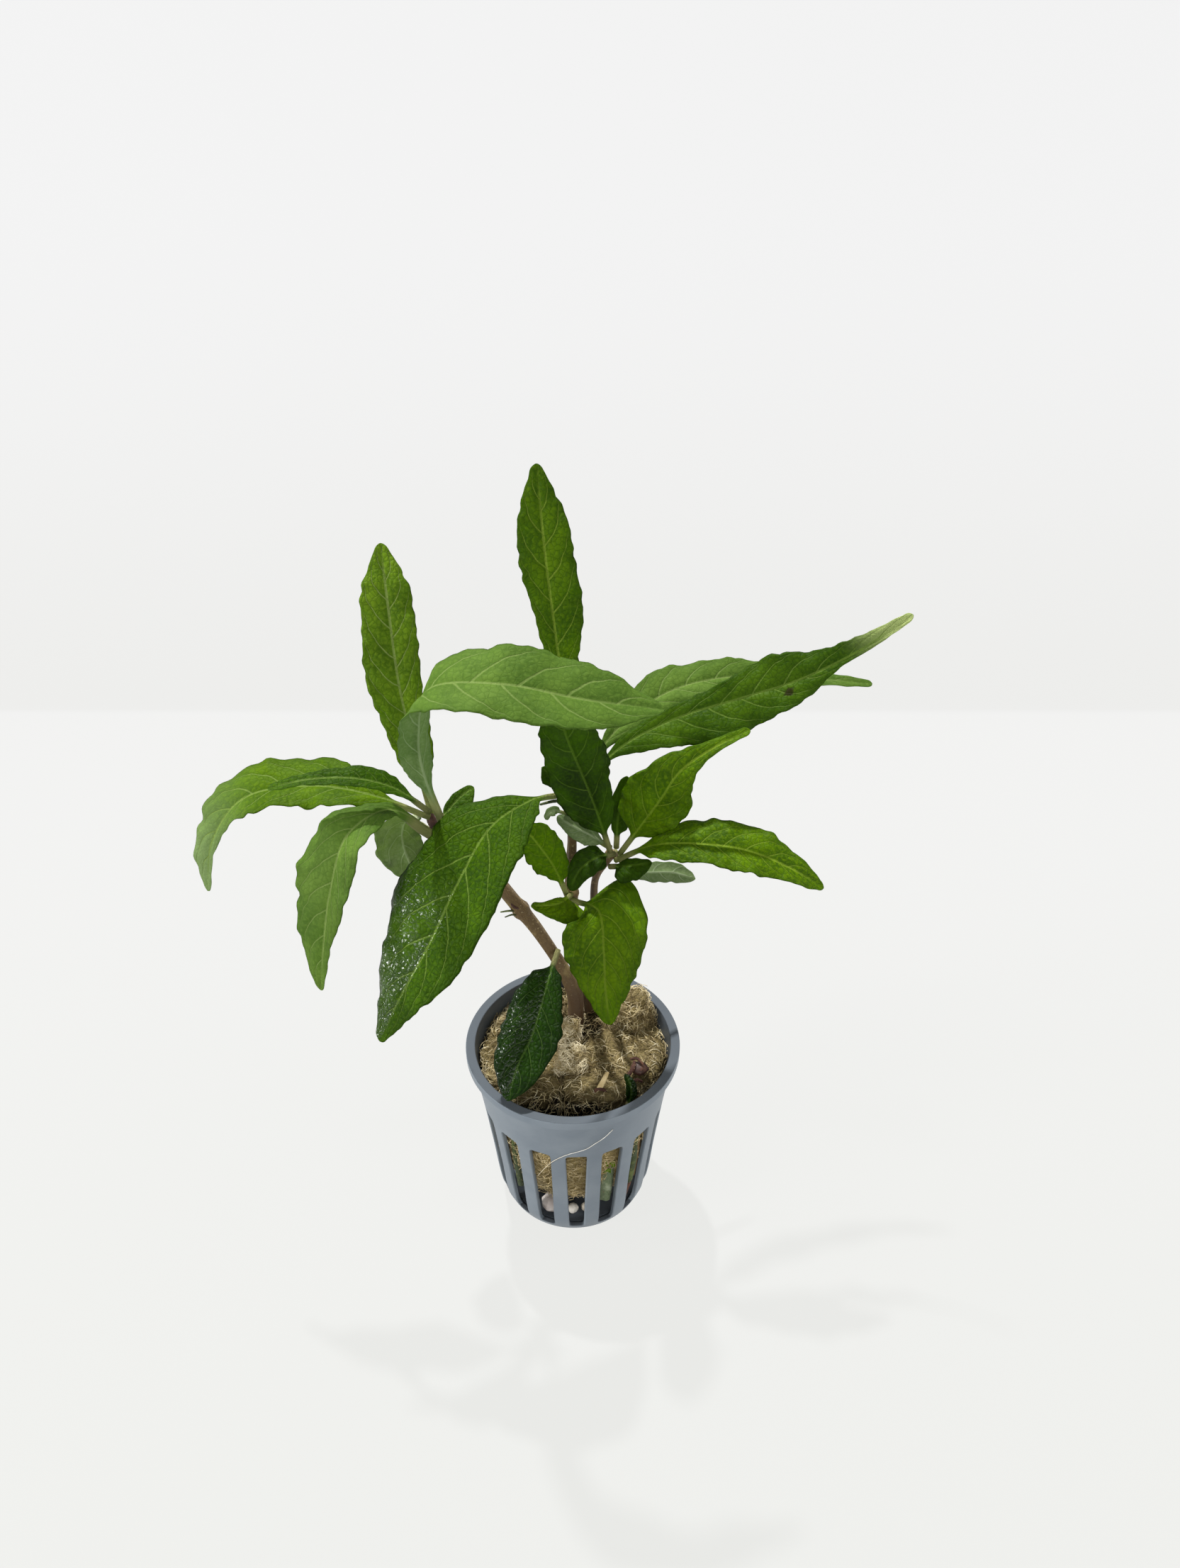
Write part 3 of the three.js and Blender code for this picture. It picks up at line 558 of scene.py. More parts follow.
def wool_material(title, dark, body, light):
    """Matted fibre, with painted shade in the gap at the front and round the stems' feet, and painted light low
    down behind the slots.
    """
    n = Nodes(title)
    here = n.here()
    x, y, z = n.axes(here)
    broad = n.noise(here, 150.0, 4.0)
    strands = n.noise(n.stretch(here, (1.0, 2.4, 0.8)), 1100.0, 5.0, 0.7)
    ragged = n.times(n.minus(n.noise(here, 240.0, 3.0), 0.5), 0.008)
    colour = n.mix(n.band(strands, 0.36, 0.62), dark, body)
    colour = n.tint(colour, n.band(broad, 0.35, 0.7), 0.5, light)
    # Painted light: paler low down, behind the slots
    colour = n.tint(colour, n.band(z, *SLOT_LIGHT_SPAN), 0.55, (206, 182, 122))
    # Painted shade: a dark band in the gap at the front, near the top of the plug
    front = n.band(n.plus(y, ragged), -0.0125, -0.016)
    colour = n.tint(colour, front, n.band(z, 0.032, 0.036), (26, 20, 13))
    # Painted shade round the stems' feet
    squares = [n.math("POWER", n.minus(axis, at), 2.0) for axis, at in zip((x, y), STEM_FEET_AT)]
    from_feet = n.plus(n.math("SQRT", n.plus(*squares)), n.times(ragged, 0.4))
    colour = n.tint(colour, n.band(from_feet, 0.0075, 0.0035), 0.85, (24, 18, 11))
    normal = n.bump(strands, 0.0012, 1.0, n.bump(broad, 0.002, 0.6))
    return n.finish(n.surface({"Base Color": colour, "Roughness": 1.0, "Specular IOR Level": 0.1,
                               "Normal": normal}))


def fibre_material(title, dull, clear):
    n = Nodes(title)
    here = n.here()
    colour = n.mix(n.band(n.noise(here, 320.0, 2.0), 0.35, 0.65), dull, clear)
    # Painted light: paler low down, behind the slots
    colour = n.tint(colour, n.band(n.axes(here)[2], *SLOT_LIGHT_SPAN), 0.5, (226, 204, 150))
    return n.finish(n.surface({"Base Color": colour, "Roughness": 0.7}))


def stone_material(name, base, light, roughness):
    n = Nodes(name)
    here = n.here()
    cloud = n.noise(here, 420.0, 4.0)
    speck = n.noise(here, 2400.0, 3.0)
    return n.finish(n.surface({
        "Base Color": n.mix(n.band(cloud, 0.35, 0.65), base, light),
        "Roughness": n.band(speck, 0.3, 0.7, roughness - 0.1, roughness + 0.1),
        "Normal": n.bump(speck, 0.0001, 0.5, n.bump(cloud, 0.0004, 0.4))}))


# Leaves

def leaf_frame(spec, ts):
    """Centre, across, normal and tangent along a leaf."""
    centre = catmull_rom(spec["spine"], ts)
    step = 1e-3
    ahead = catmull_rom(spec["spine"], np.clip(ts + step, 0, 1))
    behind = catmull_rom(spec["spine"], np.clip(ts - step, 0, 1))
    tangent = unit(ahead - behind)
    facing = np.array(spec["facing"], float)
    stops = np.linspace(0, 1, len(facing))
    upward = np.stack([np.interp(ts, stops, facing[:, axis]) for axis in range(3)], -1)
    across = unit(np.cross(tangent, upward))
    normal = np.cross(across, tangent)
    return centre, across, normal, tangent


def half_width(stations, stalk, ts, length):
    knots = [0.0, PETIOLE_END, *WIDTH_STATIONS, 1.0]
    width = smooth_through(knots, [stalk, stalk, *stations, TIP_HALF_WIDTH], ts)
    from_cap = np.clip((length - length[-1]) / TIP_ROUNDING + 1, 0, 1)
    return width * np.sqrt(np.maximum(1 - from_cap**2, 0.01))


def scallops(length, phase):
    """How far the margin stands out along the leaf: lobes of uneven size over a slow wave."""
    lobes = LOBE_DEPTH * np.abs(np.sin(length * 0.68 + 0.8 * np.sin(length * 0.21 + 5 * phase) + phase))
    lobes = lobes * (0.45 + 0.55 * np.sin(length * 0.17 + 4 * phase) ** 2)
    return lobes + 0.16 * np.sin(length * 0.33 + 2 * phase) + 0.1 * np.sin(length * 2.1 + 3 * phase) - 0.14


def leaf_surfaces(spec, phase):
    """Upper and lower points by row and column, and their places along, across and between the veins."""
    near_tip = 1 - TIP_SHARE * np.linspace(1, 0, TIP_ROWS) ** 1.5
    ts = np.concatenate([np.linspace(0, 1 - TIP_SHARE, LEAF_ROWS - TIP_ROWS, endpoint=False), near_tip])
    centre, across, normal, tangent = leaf_frame(spec, ts)
    centre[0] -= tangent[0] * PETIOLE_SUNK
    length = np.concatenate([[0], np.cumsum(np.linalg.norm(np.diff(centre, axis=0), axis=1))])
    blade = np.clip((ts - BLADE_FROM) / BLADE_FADE, 0, 1)
    plain = [half_width(spec[half], spec["stalk"], ts, length) for half in ("left", "right")]
    slenderness = max(plain[0].max(), plain[1].max()) / length[-1]
    halves = [half + blade * scallops(length, phase[k]) * np.clip(half / 4, 0.1, 1)
              for k, half in enumerate(plain)]
    ruffles = [np.sin(2 * np.pi * spec["waves"] * ts + phase[2 + 2 * k])
               + 0.5 * np.sin(quick * np.pi * spec["waves"] * ts + phase[3 + 2 * k])
               for k, quick in enumerate((4.7, 5.3))]

    columns = np.linspace(-1, 1, LEAF_COLUMNS)
    columns = np.sign(columns) * np.abs(columns) ** 1.25
    shape = (LEAF_ROWS, LEAF_COLUMNS)
    upper, lower = np.zeros((*shape, 3)), np.zeros((*shape, 3))
    vein_at, across_mm = np.zeros(shape), np.zeros(shape)
    for j, s in enumerate(columns):
        half = int(s >= 0)
        width = halves[half]
        x = s * width
        reach = abs(s)
        slant = slenderness * (0.9 * reach + 0.9 * reach**3)
        vein_at[:, j] = (ts - slant) * spec["veins"] * 1.25 + (0.35 if s > 0 else 0.0)
        gap = np.abs((vein_at[:, j] % 1.0) - 0.5) * 2
        quilt = (1 - gap**3) * np.sin(np.pi * min(reach, 1.0)) ** 0.7
        body = np.clip(width / FULL_SIZE_HALF, 0.1, 1)
        height = (BLADE_FOLD * np.abs(x) - BLADE_CURL * x * x / np.maximum(width, 0.5)
                  + spec["wave"] * ruffles[half] * reach**2.2 * body + QUILT_HEIGHT * quilt * body
                  - MIDRIB_GROOVE * np.exp(-((x / GROOVE_HALF) ** 2))) * blade
        rib = np.exp(-((x / RIDGE_HALF) ** 2)) * (1 - 0.75 * ts)
        thick = BLADE_THICKNESS * (1 - EDGE_THINNING * reach**4)
        round_stalk = (1 - blade) * (spec["stalk"] * np.sqrt(max(1 - s * s, 0.0)))
        above = blade * thick / 2 + round_stalk
        below = blade * (thick / 2 + MIDRIB_RIDGE * rib) + round_stalk
        flat = centre + across * x[:, None]
        upper[:, j] = flat + normal * (height + above)[:, None]
        lower[:, j] = flat + normal * (height - below)[:, None]
        across_mm[:, j] = x
    return upper, lower, ts[:, None], length[:, None], columns * 0.5 + 0.5, vein_at, across_mm


def leaf_faces():
    """Faces above, below and at the two ends, and how many are above."""
    top = np.arange(LEAF_ROWS * LEAF_COLUMNS).reshape(LEAF_ROWS, LEAF_COLUMNS)
    low = top.copy()
    low[:, 1:-1] = top.size + np.arange(LEAF_ROWS * (LEAF_COLUMNS - 2)).reshape(LEAF_ROWS, -1)
    upper = np.stack([top[:-1, :-1], top[:-1, 1:], top[1:, 1:], top[1:, :-1]], -1).reshape(-1, 4)
    lower = np.stack([low[:-1, :-1], low[1:, :-1], low[1:, 1:], low[:-1, 1:]], -1).reshape(-1, 4)
    first, last = ([*top[i], *low[i, -2:0:-1]] for i in (0, -1))
    return [*upper, *lower, first[::-1], last], len(upper)


def build_leaf(name, spec, seed):
    """A leaf, in place of the CAD node of its name where there is one."""
    draw = np.random.default_rng(seed)
    upper, lower, along, length, side, vein, across = leaf_surfaces(spec, draw.uniform(0, PHASE_END, 6))

    def by_vertex(values):
        grid = np.broadcast_to(values, upper.shape[:2])
        return np.concatenate([grid.reshape(-1), grid[:, 1:-1].reshape(-1)])

    vertices = np.concatenate([upper.reshape(-1, 3), lower[:, 1:-1].reshape(-1, 3)])
    faces, uppers = leaf_faces()
    look = spec["look"]
    obj = new_object(name + "_blade", vertices, faces, (leaf_looks[look], leaf_looks["pale"]))
    mesh = obj.data
    mesh.polygons.foreach_set("material_index", [int(k >= uppers) for k in range(len(mesh.polygons))])
    offset = draw.uniform(0, 20)
    across = by_vertex(across) * UV_PER_MM + 0.5
    add_uv(mesh, "blade", by_vertex(along), by_vertex(side))
    add_uv(mesh, "size", by_vertex(length) * UV_PER_MM + offset, across)
    add_uv(mesh, "veins", by_vertex(vein), across)
    dress(obj, "leaf_underside" if look == "pale" else "leaf", name if name in LEAVES else None)


# Stems

STEMS = {
    "stem_left": dict(
        radii=[2, 2, 1.9, 1.4, 1.6, 1.6, 1.6],
        path=[(0.7, 10, 26), (0.5, 10, 42), (0.2, 9.9, 52), (-4.6, 9.2, 65.5), (-11.4, 8, 79.2),
              (-19.4, 6.2, 93), (-28, 4.5, 104.5)],
        joints=[0.67, 0.985]),
    "stem_center": dict(
        radii=[1.6, 1.6, 1.4, 1.4, 1, 1],
        path=[(4.4, 13.8, 26), (4.2, 13.6, 42), (2, 13, 62), (-0.3, 12.2, 81), (0, 13.4, 94), (0, 14, 107)],
        joints=[0.6, 0.985]),
    "stem_right": dict(
        radii=[1.2, 1.2, 1, 0.75, 1.1],
        path=[(8.4, 14.4, 26), (8, 14.4, 42), (6, 14.4, 65), (5.2, 14.2, 83), (9, 12.6, 92)],
        joints=[0.985]),
}
STEM_RIDGE = 0.06
JOINT_SWELLING, JOINT_SPREAD = 0.34, 0.014
END_FROM, END_SHARE, END_LEAST = 0.985, 0.0151, 0.15
BARK_UV_MM = 10


def build_tube(name, path, radii, material, seed, rows=90, sides=24, joints=()):
    """A ridged stem along a path, swollen at its joints and rounded at its end."""
    ts = np.linspace(0, 1, rows)
    centre = catmull_rom(path, ts)
    tangent = unit(np.gradient(centre, axis=0))
    across = unit(np.cross(np.array([0.0, 1.0, 0.0]), tangent))
    other = np.cross(tangent, across)
    radius = np.interp(ts, np.linspace(0, 1, len(radii)), radii)
    for joint in joints:
        radius = radius * (1 + JOINT_SWELLING * np.exp(-(((ts - joint) / JOINT_SPREAD) ** 2)))
    angle = np.linspace(0, 2 * np.pi, sides, endpoint=False)
    phase = np.random.default_rng(seed).uniform(0, PHASE_END, 4)
    rings = []
    for i, t in enumerate(ts):
        ripple = 1 + STEM_RIDGE * (np.sin(4 * angle + phase[0]) + 0.5 * np.sin(9 * angle + phase[1] + 3 * t))
        ripple = ripple + 0.03 * np.sin(3 * angle + 40 * t + phase[2])
        end = math.sqrt(max(0.0, 1 - max(0.0, (t - END_FROM) / END_SHARE) ** 2))
        r = radius[i] * ripple * max(end, END_LEAST)
        ring = across[i] * (r * np.cos(angle))[:, None], other[i] * (r * np.sin(angle))[:, None]
        rings.append(centre[i] + ring[0] + ring[1])
    numbers = np.arange(rows * sides).reshape(rows, sides).tolist()
    obj = new_object(name, np.concatenate(rings), tube_faces(numbers), (material,))
    length = np.linalg.norm(np.diff(centre, axis=0), axis=1).sum()
    along, round_it = ts * length / BARK_UV_MM, np.abs(angle / np.pi - 1)
    add_uv(obj.data, "bark", np.repeat(along, sides), np.tile(round_it, rows))
    return obj


# Pot

def wall_radius(z):
    rs, zs = zip(*WALL_OUTSIDE)
    return float(smooth_through(zs, rs, np.array([z]))[0])


def slot_half_width(z):
    widening = (SLOT_WIDTH_TOP - SLOT_WIDTH_BOTTOM) * (z - SLOT_BOTTOM) / (SLOT_TOP - SLOT_BOTTOM)
    return 0.5 * (SLOT_WIDTH_BOTTOM + widening)


def eased(steps):
    """Shares from 0 towards 1, closer together at both ends."""
    return [0.5 - 0.5 * math.cos(math.pi * k / steps) for k in range(steps)]


def rounded_corner(x, z):
    """A point of the slot's outline, drawn in where it lies in a corner."""
    above = z > SLOT_MIDDLE
    corner = SLOT_CORNER_TOP if above else SLOT_CORNER_BOTTOM
    limit = slot_half_width(z) - corner
    inner_z = SLOT_TOP - corner if above else SLOT_BOTTOM + corner
    if abs(x) > limit and (z > inner_z if above else z < inner_z):
        dx, dz = abs(x) - limit, z - inner_z
        scale = corner / max(math.hypot(dx, dz), 1e-6)
        if scale < 1:
            return math.copysign(limit + dx * scale, x), inner_z + dz * scale
    return x, z


def slot_loop():
    """Slot outline as (x, z) points in millimetres, starting at the lower left, anticlockwise."""
    shares = eased(STEPS_ACROSS)
    heights = [SLOT_BOTTOM + (SLOT_TOP - SLOT_BOTTOM) * share for share in eased(STEPS_UP)]
    points = [((2 * share - 1) * slot_half_width(SLOT_BOTTOM), SLOT_BOTTOM) for share in shares]
    points += [(slot_half_width(z), z) for z in heights]
    points += [((1 - 2 * share) * slot_half_width(SLOT_TOP), SLOT_TOP) for share in shares]
    points += [(-slot_half_width(z), z) for z in (SLOT_BOTTOM + SLOT_TOP - height for height in heights)]
    return [rounded_corner(x, z) for x, z in points]


def panel_loop():
    """Outline of the wall round a slot as (share of the pitch, z), a point for each of the slot's."""
    across, up, rise = STEPS_ACROSS, STEPS_UP, SLOTTED_HIGH - SLOTTED_LOW
    loop = [(k / across - 0.5, SLOTTED_LOW) for k in range(across)]
    loop += [(0.5, SLOTTED_LOW + rise * k / up) for k in range(up)]
    loop += [(0.5 - k / across, SLOTTED_HIGH) for k in range(across)]
    loop += [(-0.5, SLOTTED_HIGH - rise * k / up) for k in range(up)]
    return loop


def pot_profiles():
    """The turned parts as (radius, z): up and over the lip, over the floor, and under the base."""
    rim, top, foot = RIM_RADIUS, POT_HEIGHT, LIP_FOOT
    mouth = RIM_RADIUS - LIP_WIDTH - WALL + 0.1
    over_lip = [(wall_radius(z), z) for z in (SLOTTED_HIGH, *BAND_HEIGHTS, foot - 0.25)]
    over_lip += [(rim - 0.35, foot + 0.1), (rim - 0.05, foot + 0.35), (rim, foot + 0.9), (rim, top - 0.22),
                 (rim - 0.07, top - 0.07), (rim - 0.22, top), (mouth + 0.18, top), (mouth + 0.05, top - 0.05),
                 (mouth, top - 0.2)]
    over_lip += [(wall_radius(z) - WALL, z) for z in (foot, *BAND_HEIGHTS[::-1], SLOTTED_HIGH)]
    outside = wall_radius(SLOTTED_LOW)
    over_floor = [(outside - WALL, SLOTTED_LOW), (outside - WALL - 0.2, FLOOR)]
    over_floor += [(r, FLOOR) for r in FLOOR_RINGS]
    under = [*((r, 0.0) for r in FLOOR_RINGS[::-1]), (BASE_RADIUS - 0.3, 0.0), (BASE_RADIUS + 0.05, 0.25),
             (outside, SLOTTED_LOW)]
    return over_lip, over_floor, under


def build_pot(material):
    pitch = 2 * math.pi / SLOT_COUNT
    panel, slot = panel_loop(), slot_loop()
    vertices, faces, known = [], [], {}

    def vertex(r, angle, z):
        x, y = r * math.sin(angle), r * math.cos(angle)
        key = (round(x, 4), round(y, 4), round(z, 4))
        if key not in known:
            known[key] = len(vertices)
            vertices.append((x, -y, z))
        return known[key]

    def ring_round_slot(middle, inside, step, sink):
        """Vertices at the share step of the way from the panel's outline to the slot's."""
        ring = []
        for (share, panel_z), (x, slot_z) in zip(panel, slot):
            z = panel_z + (slot_z - panel_z) * step
            angle = middle + share * pitch + (x / wall_radius(slot_z) - share * pitch) * step
            ring.append(vertex(wall_radius(z) - (WALL - sink if inside else sink), angle, z))
        return ring

    for number in range(SLOT_COUNT):
        edges = []
        for inside in (False, True):
            middle = SLOT_START_ANGLE + pitch * number
            rings = [ring_round_slot(middle, inside, step, sink) for step, sink in SLOT_RINGS]
            for a, b in zip(rings[:-1], rings[1:]):
                faces += [quad[::-1] if inside else quad for quad in ring_quads(a, b)]
            edges.append(rings[-1])
        faces += ring_quads(*edges)

    angles = [SLOT_START_ANGLE + pitch * (column / STEPS_ACROSS - 0.5)
              for column in range(SLOT_COUNT * STEPS_ACROSS)]
    turned = []
    for profile in pot_profiles():
        turned.append([[vertex(r, angle, z) for angle in angles] for r, z in profile])
        for a, b in zip(turned[-1][:-1], turned[-1][1:]):
            faces += ring_quads(a, b)
    _, floor_rings, under_rings = turned
    faces += [floor_rings[-1], under_rings[0][::-1]]
    obj = new_object("net_pot", vertices, faces, (material,))
    obj.data.set_sharp_from_angle(angle=POT_CREASE)
    dress(obj, "pot_plastic", "pot")


# Rockwool and stones

# Unevenness as (share of the roughness, scale), and the heights over which the plug widens
ROUGH_WAVES = ((1.0, 0.9), (0.4, 3.1), (0.8, 0.4))
SWELL_FROM, SWELL_RISE, WALL_CLEARANCE = 30, 8, 0.2
STRAND_STEPS = 4
STRAND_CORNERS = [2.0944 * corner for corner in range(3)]
STRAND_SUNK = 0.1


def hash_noise(points, scale, seed):
    """Smooth noise from a few crossing waves."""
    draw = np.random.default_rng(seed)
    total = np.zeros(len(points))
    for octave in range(4):
        for _ in range(5):
            direction = unit(draw.normal(size=3))
            total += np.sin(points @ direction * scale * 1.9**octave + draw.uniform(0, PHASE_END)) / 1.6**octave
    return total / 6


def apply_modifiers(obj):
    bpy.context.view_layer.update()
    graph = bpy.context.evaluated_depsgraph_get()
    mesh = bpy.data.meshes.new_from_object(obj.evaluated_get(graph))
    obj.modifiers.clear()
    old = obj.data
    obj.data = mesh
    bpy.data.meshes.remove(old)


def mesh_copy(node, name, detail, seed, rough, material, swell=0.0):
    """A finer, rougher copy of a CAD solid, its upper part widened by the share swell."""
    source = bpy.data.objects[node]
    obj = show(bpy.data.objects.new(name, source.data.copy()))
    obj.matrix_world = source.matrix_world
    remesh = obj.modifiers.new("remesh", "REMESH")
    remesh.mode = "VOXEL"
    remesh.voxel_size = detail * MM
    apply_modifiers(obj)
    mesh = obj.data
    points = read_vectors(mesh.vertices, "co") / MM
    shift = sum(share * rough * hash_noise(points, scale, seed + k)
                for k, (share, scale) in enumerate(ROUGH_WAVES))
    points = points + read_vectors(mesh.vertex_normals, "vector") * shift[:, None]
    if swell:
        rs, zs = zip(*WALL_OUTSIDE)
        out = np.hypot(points[:, 0], points[:, 1])
        room = np.interp(points[:, 2], zs, rs) - WALL - WALL_CLEARANCE
        widened = out * (1 + swell * np.clip((points[:, 2] - SWELL_FROM) / SWELL_RISE, 0, 1))
        points[:, :2] *= (np.minimum(widened, np.maximum(room, out)) / np.maximum(out, 1e-6))[:, None]
    mesh.vertices.foreach_set("co", (points * MM).reshape(-1))
    smooth(mesh)
    mesh.materials.clear()
    mesh.materials.append(material)
    mesh.update()
    return obj


def fibres(name, body, count, length, radius, material, seed):
    """Curly strands on and standing out of a body's surface."""
    draw = np.random.default_rng(seed)
    centres = read_vectors(body.data.polygons, "center") / MM
    normals = read_vectors(body.data.polygons, "normal")
    vertices, faces = [], []
    for index in draw.integers(0, len(centres), count):
        start, normal = centres[index], normals[index]
        heading = unit(np.cross(normal, draw.normal(size=3)))
        side = np.cross(normal, heading)
        span = length * draw.uniform(0.5, 1.4)
        bend = draw.uniform(-1.6, 1.6)
        rise = draw.uniform(0.1, 1.0) ** 2
        width = radius * draw.uniform(0.6, 1.3)
        rings = []
        for step in range(STRAND_STEPS):
            t = step / (STRAND_STEPS - 1)
            turn = bend * t
            lift = STRAND_SUNK + rise * math.sin(math.pi * min(t * 1.1, 1.0)) + rise * 0.5 * t
            at = (start + heading * span * (t - 0.5) * math.cos(turn) + side * span * 0.6 * math.sin(turn) * t
                  + normal * lift)
            rings.append([len(vertices) + corner for corner in range(len(STRAND_CORNERS))])
            vertices += [at + width * (normal * math.cos(a) + side * math.sin(a)) for a in STRAND_CORNERS]
        faces += tube_faces(rings)
    dress(new_object(name, vertices, faces, (material,)), "rockwool")


# Build

leaf_looks = {title: leaf_material(title) for title in LEAF_LOOKS}
for number, (name, spec) in enumerate(LEAVES.items()):
    build_leaf(name, spec, 100 + number)

# foot sets the strength of the painted shade low on the stems
bark = stem_material("stem_bark", (138, 112, 62), (74, 52, 28), (168, 146, 92), (206, 188, 138), foot=0.9)
for number, (name, spec) in enumerate(STEMS.items()):
    stem = build_tube(name + "_bark", spec["path"], spec["radii"], bark, number, joints=spec["joints"])
    dress(stem, "stem_bark", name)

green_bark = stem_material("stem_green", (150, 164, 124), (70, 92, 50), (196, 206, 172), (120, 96, 60))
cutting = build_tube("stem_cutting_skin", [(7.4, -13.9, 8.4), (7.8, -14.5, 15), (8.3, -15.2, 22)],
                     [1.7, 1.8, 1.5], green_bark, 9, rows=30)
dress(cutting, "stem_green", "stem_cutting")

build_pot(pot_material())

wool = wool_material("rockwool_body", (64, 54, 32), (152, 134, 88), (190, 172, 122))
flake_wool = wool_material("rockwool_flake", (104, 90, 56), (172, 154, 106), (206, 190, 144))
strand = fibre_material("rockwool_fibre", (116, 98, 60), (222, 204, 156))
curl_strand = fibre_material("rockwool_curl", (160, 142, 98), (240, 228, 194))
# Voxel size, roughness, and the numbers of fine and of curly strands
ROCKWOOL = {
    "rockwool_left": (0.5, 0.7, 5200, 1100),
    "rockwool_right": (0.5, 0.7, 7000, 1600),
    "rockwool_flake_rear": (0.25, 0.25, 260, 60),
    "rockwool_flake_front": (0.25, 0.4, 320, 80),
}
for number, (node, (detail, rough, fine_count, curl_count)) in enumerate(ROCKWOOL.items()):
    flake = "flake" in node
    body = mesh_copy(node, node + "_mass", detail, 30 + number, rough, flake_wool if flake else wool,
                     swell=0.0 if flake else 0.08)
    dress(body, "rockwool", node)
    fibres(node + "_fibres", body, fine_count, 2.8, 0.06, curl_strand if flake else strand, 60 + number)
    fibres(node + "_curls", body, curl_count, 2.6, 0.09, curl_strand, 70 + number)

# Material, slot, voxel size and roughness
STONES = {
    "pebble": (stone_material("pebble", (206, 192, 184), (236, 226, 218), 0.45), "pebble", 0.25, 0.1),
    "grit_1": (stone_material("grit", (190, 184, 172), (224, 218, 206), 0.7), "grit", 0.15, 0.12),
    "grit_2": (stone_material("grit_dull", (170, 160, 142), (208, 198, 180), 0.7), "grit", 0.15, 0.12),
    "bark_chip": (stem_material("bark", (70, 38, 26), (36, 18, 12), (104, 66, 44), (140, 96, 70)),
                  "bark", 0.2, 0.25),
    "splinter": (stone_material("splinter", (196, 172, 120), (228, 208, 160), 0.8), "splinter", 0.12, 0.1),
}
for number, (node, (material, slot, detail, rough)) in enumerate(STONES.items()):
    dress(mesh_copy(node, node + "_surface", detail, 80 + number, rough, material), slot, node)


# Scraps and loose strands, in no CAD node of their own

def tuft(spine, lean, right=(0.8, 1, 0.9, 0.6)):
    facing = [(0, -0.9, 0.3), (lean, -0.9, 0.3)]
    return leaf("tuft", facing, (0.8, 1, 0.9, 0.6), right, spine, wave=0.4, veins=2, stalk=0.5)


SCRAPS = {
    "leaf_scrap": leaf("wet", [(0.3, -0.8, 0.4), (0.4, -0.8, 0.3)], (1, 1.3, 1.2, 0.9), (1, 1.4, 1.3, 0.9),
                       [(12.4, -14.6, 41), (13.3, -13.4, 43.2), (13, -12, 45.4), (12, -11, 47)],
                       wave=0.3, veins=3, stalk=0.5),
    "cutting_tuft_1": tuft([(7.6, -15.6, 20.6), (7.3, -16.5, 22.6), (7.4, -16.9, 25)], -0.3,
                           (0.8, 1.1, 0.9, 0.6)),
    "cutting_tuft_2": tuft([(8.6, -15.6, 20.6), (9, -16.3, 22.4), (9.6, -16.6, 24.2)], 0.3),
    "cutting_tuft_3": tuft([(8.2, -15.8, 19.4), (8, -16.8, 20.6), (8.6, -17.3, 22.2)], 0.1),
    "torn_leaflet": leaf("pale", [(0, -0.8, 0.5), (-0.4, -0.8, 0.3)], (0.8, 1.1, 1, 0.7), (0.8, 1, 1, 0.7),
                         [(-2.2, 11.6, 103.4), (-3.6, 10.8, 104.4), (-4.8, 10.4, 104), (-5.6, 10.2, 102.4)],
                         wave=0.3, veins=2, stalk=0.4),
}
for number, (name, spec) in enumerate(SCRAPS.items()):
    build_leaf(name, spec, 200 + number)

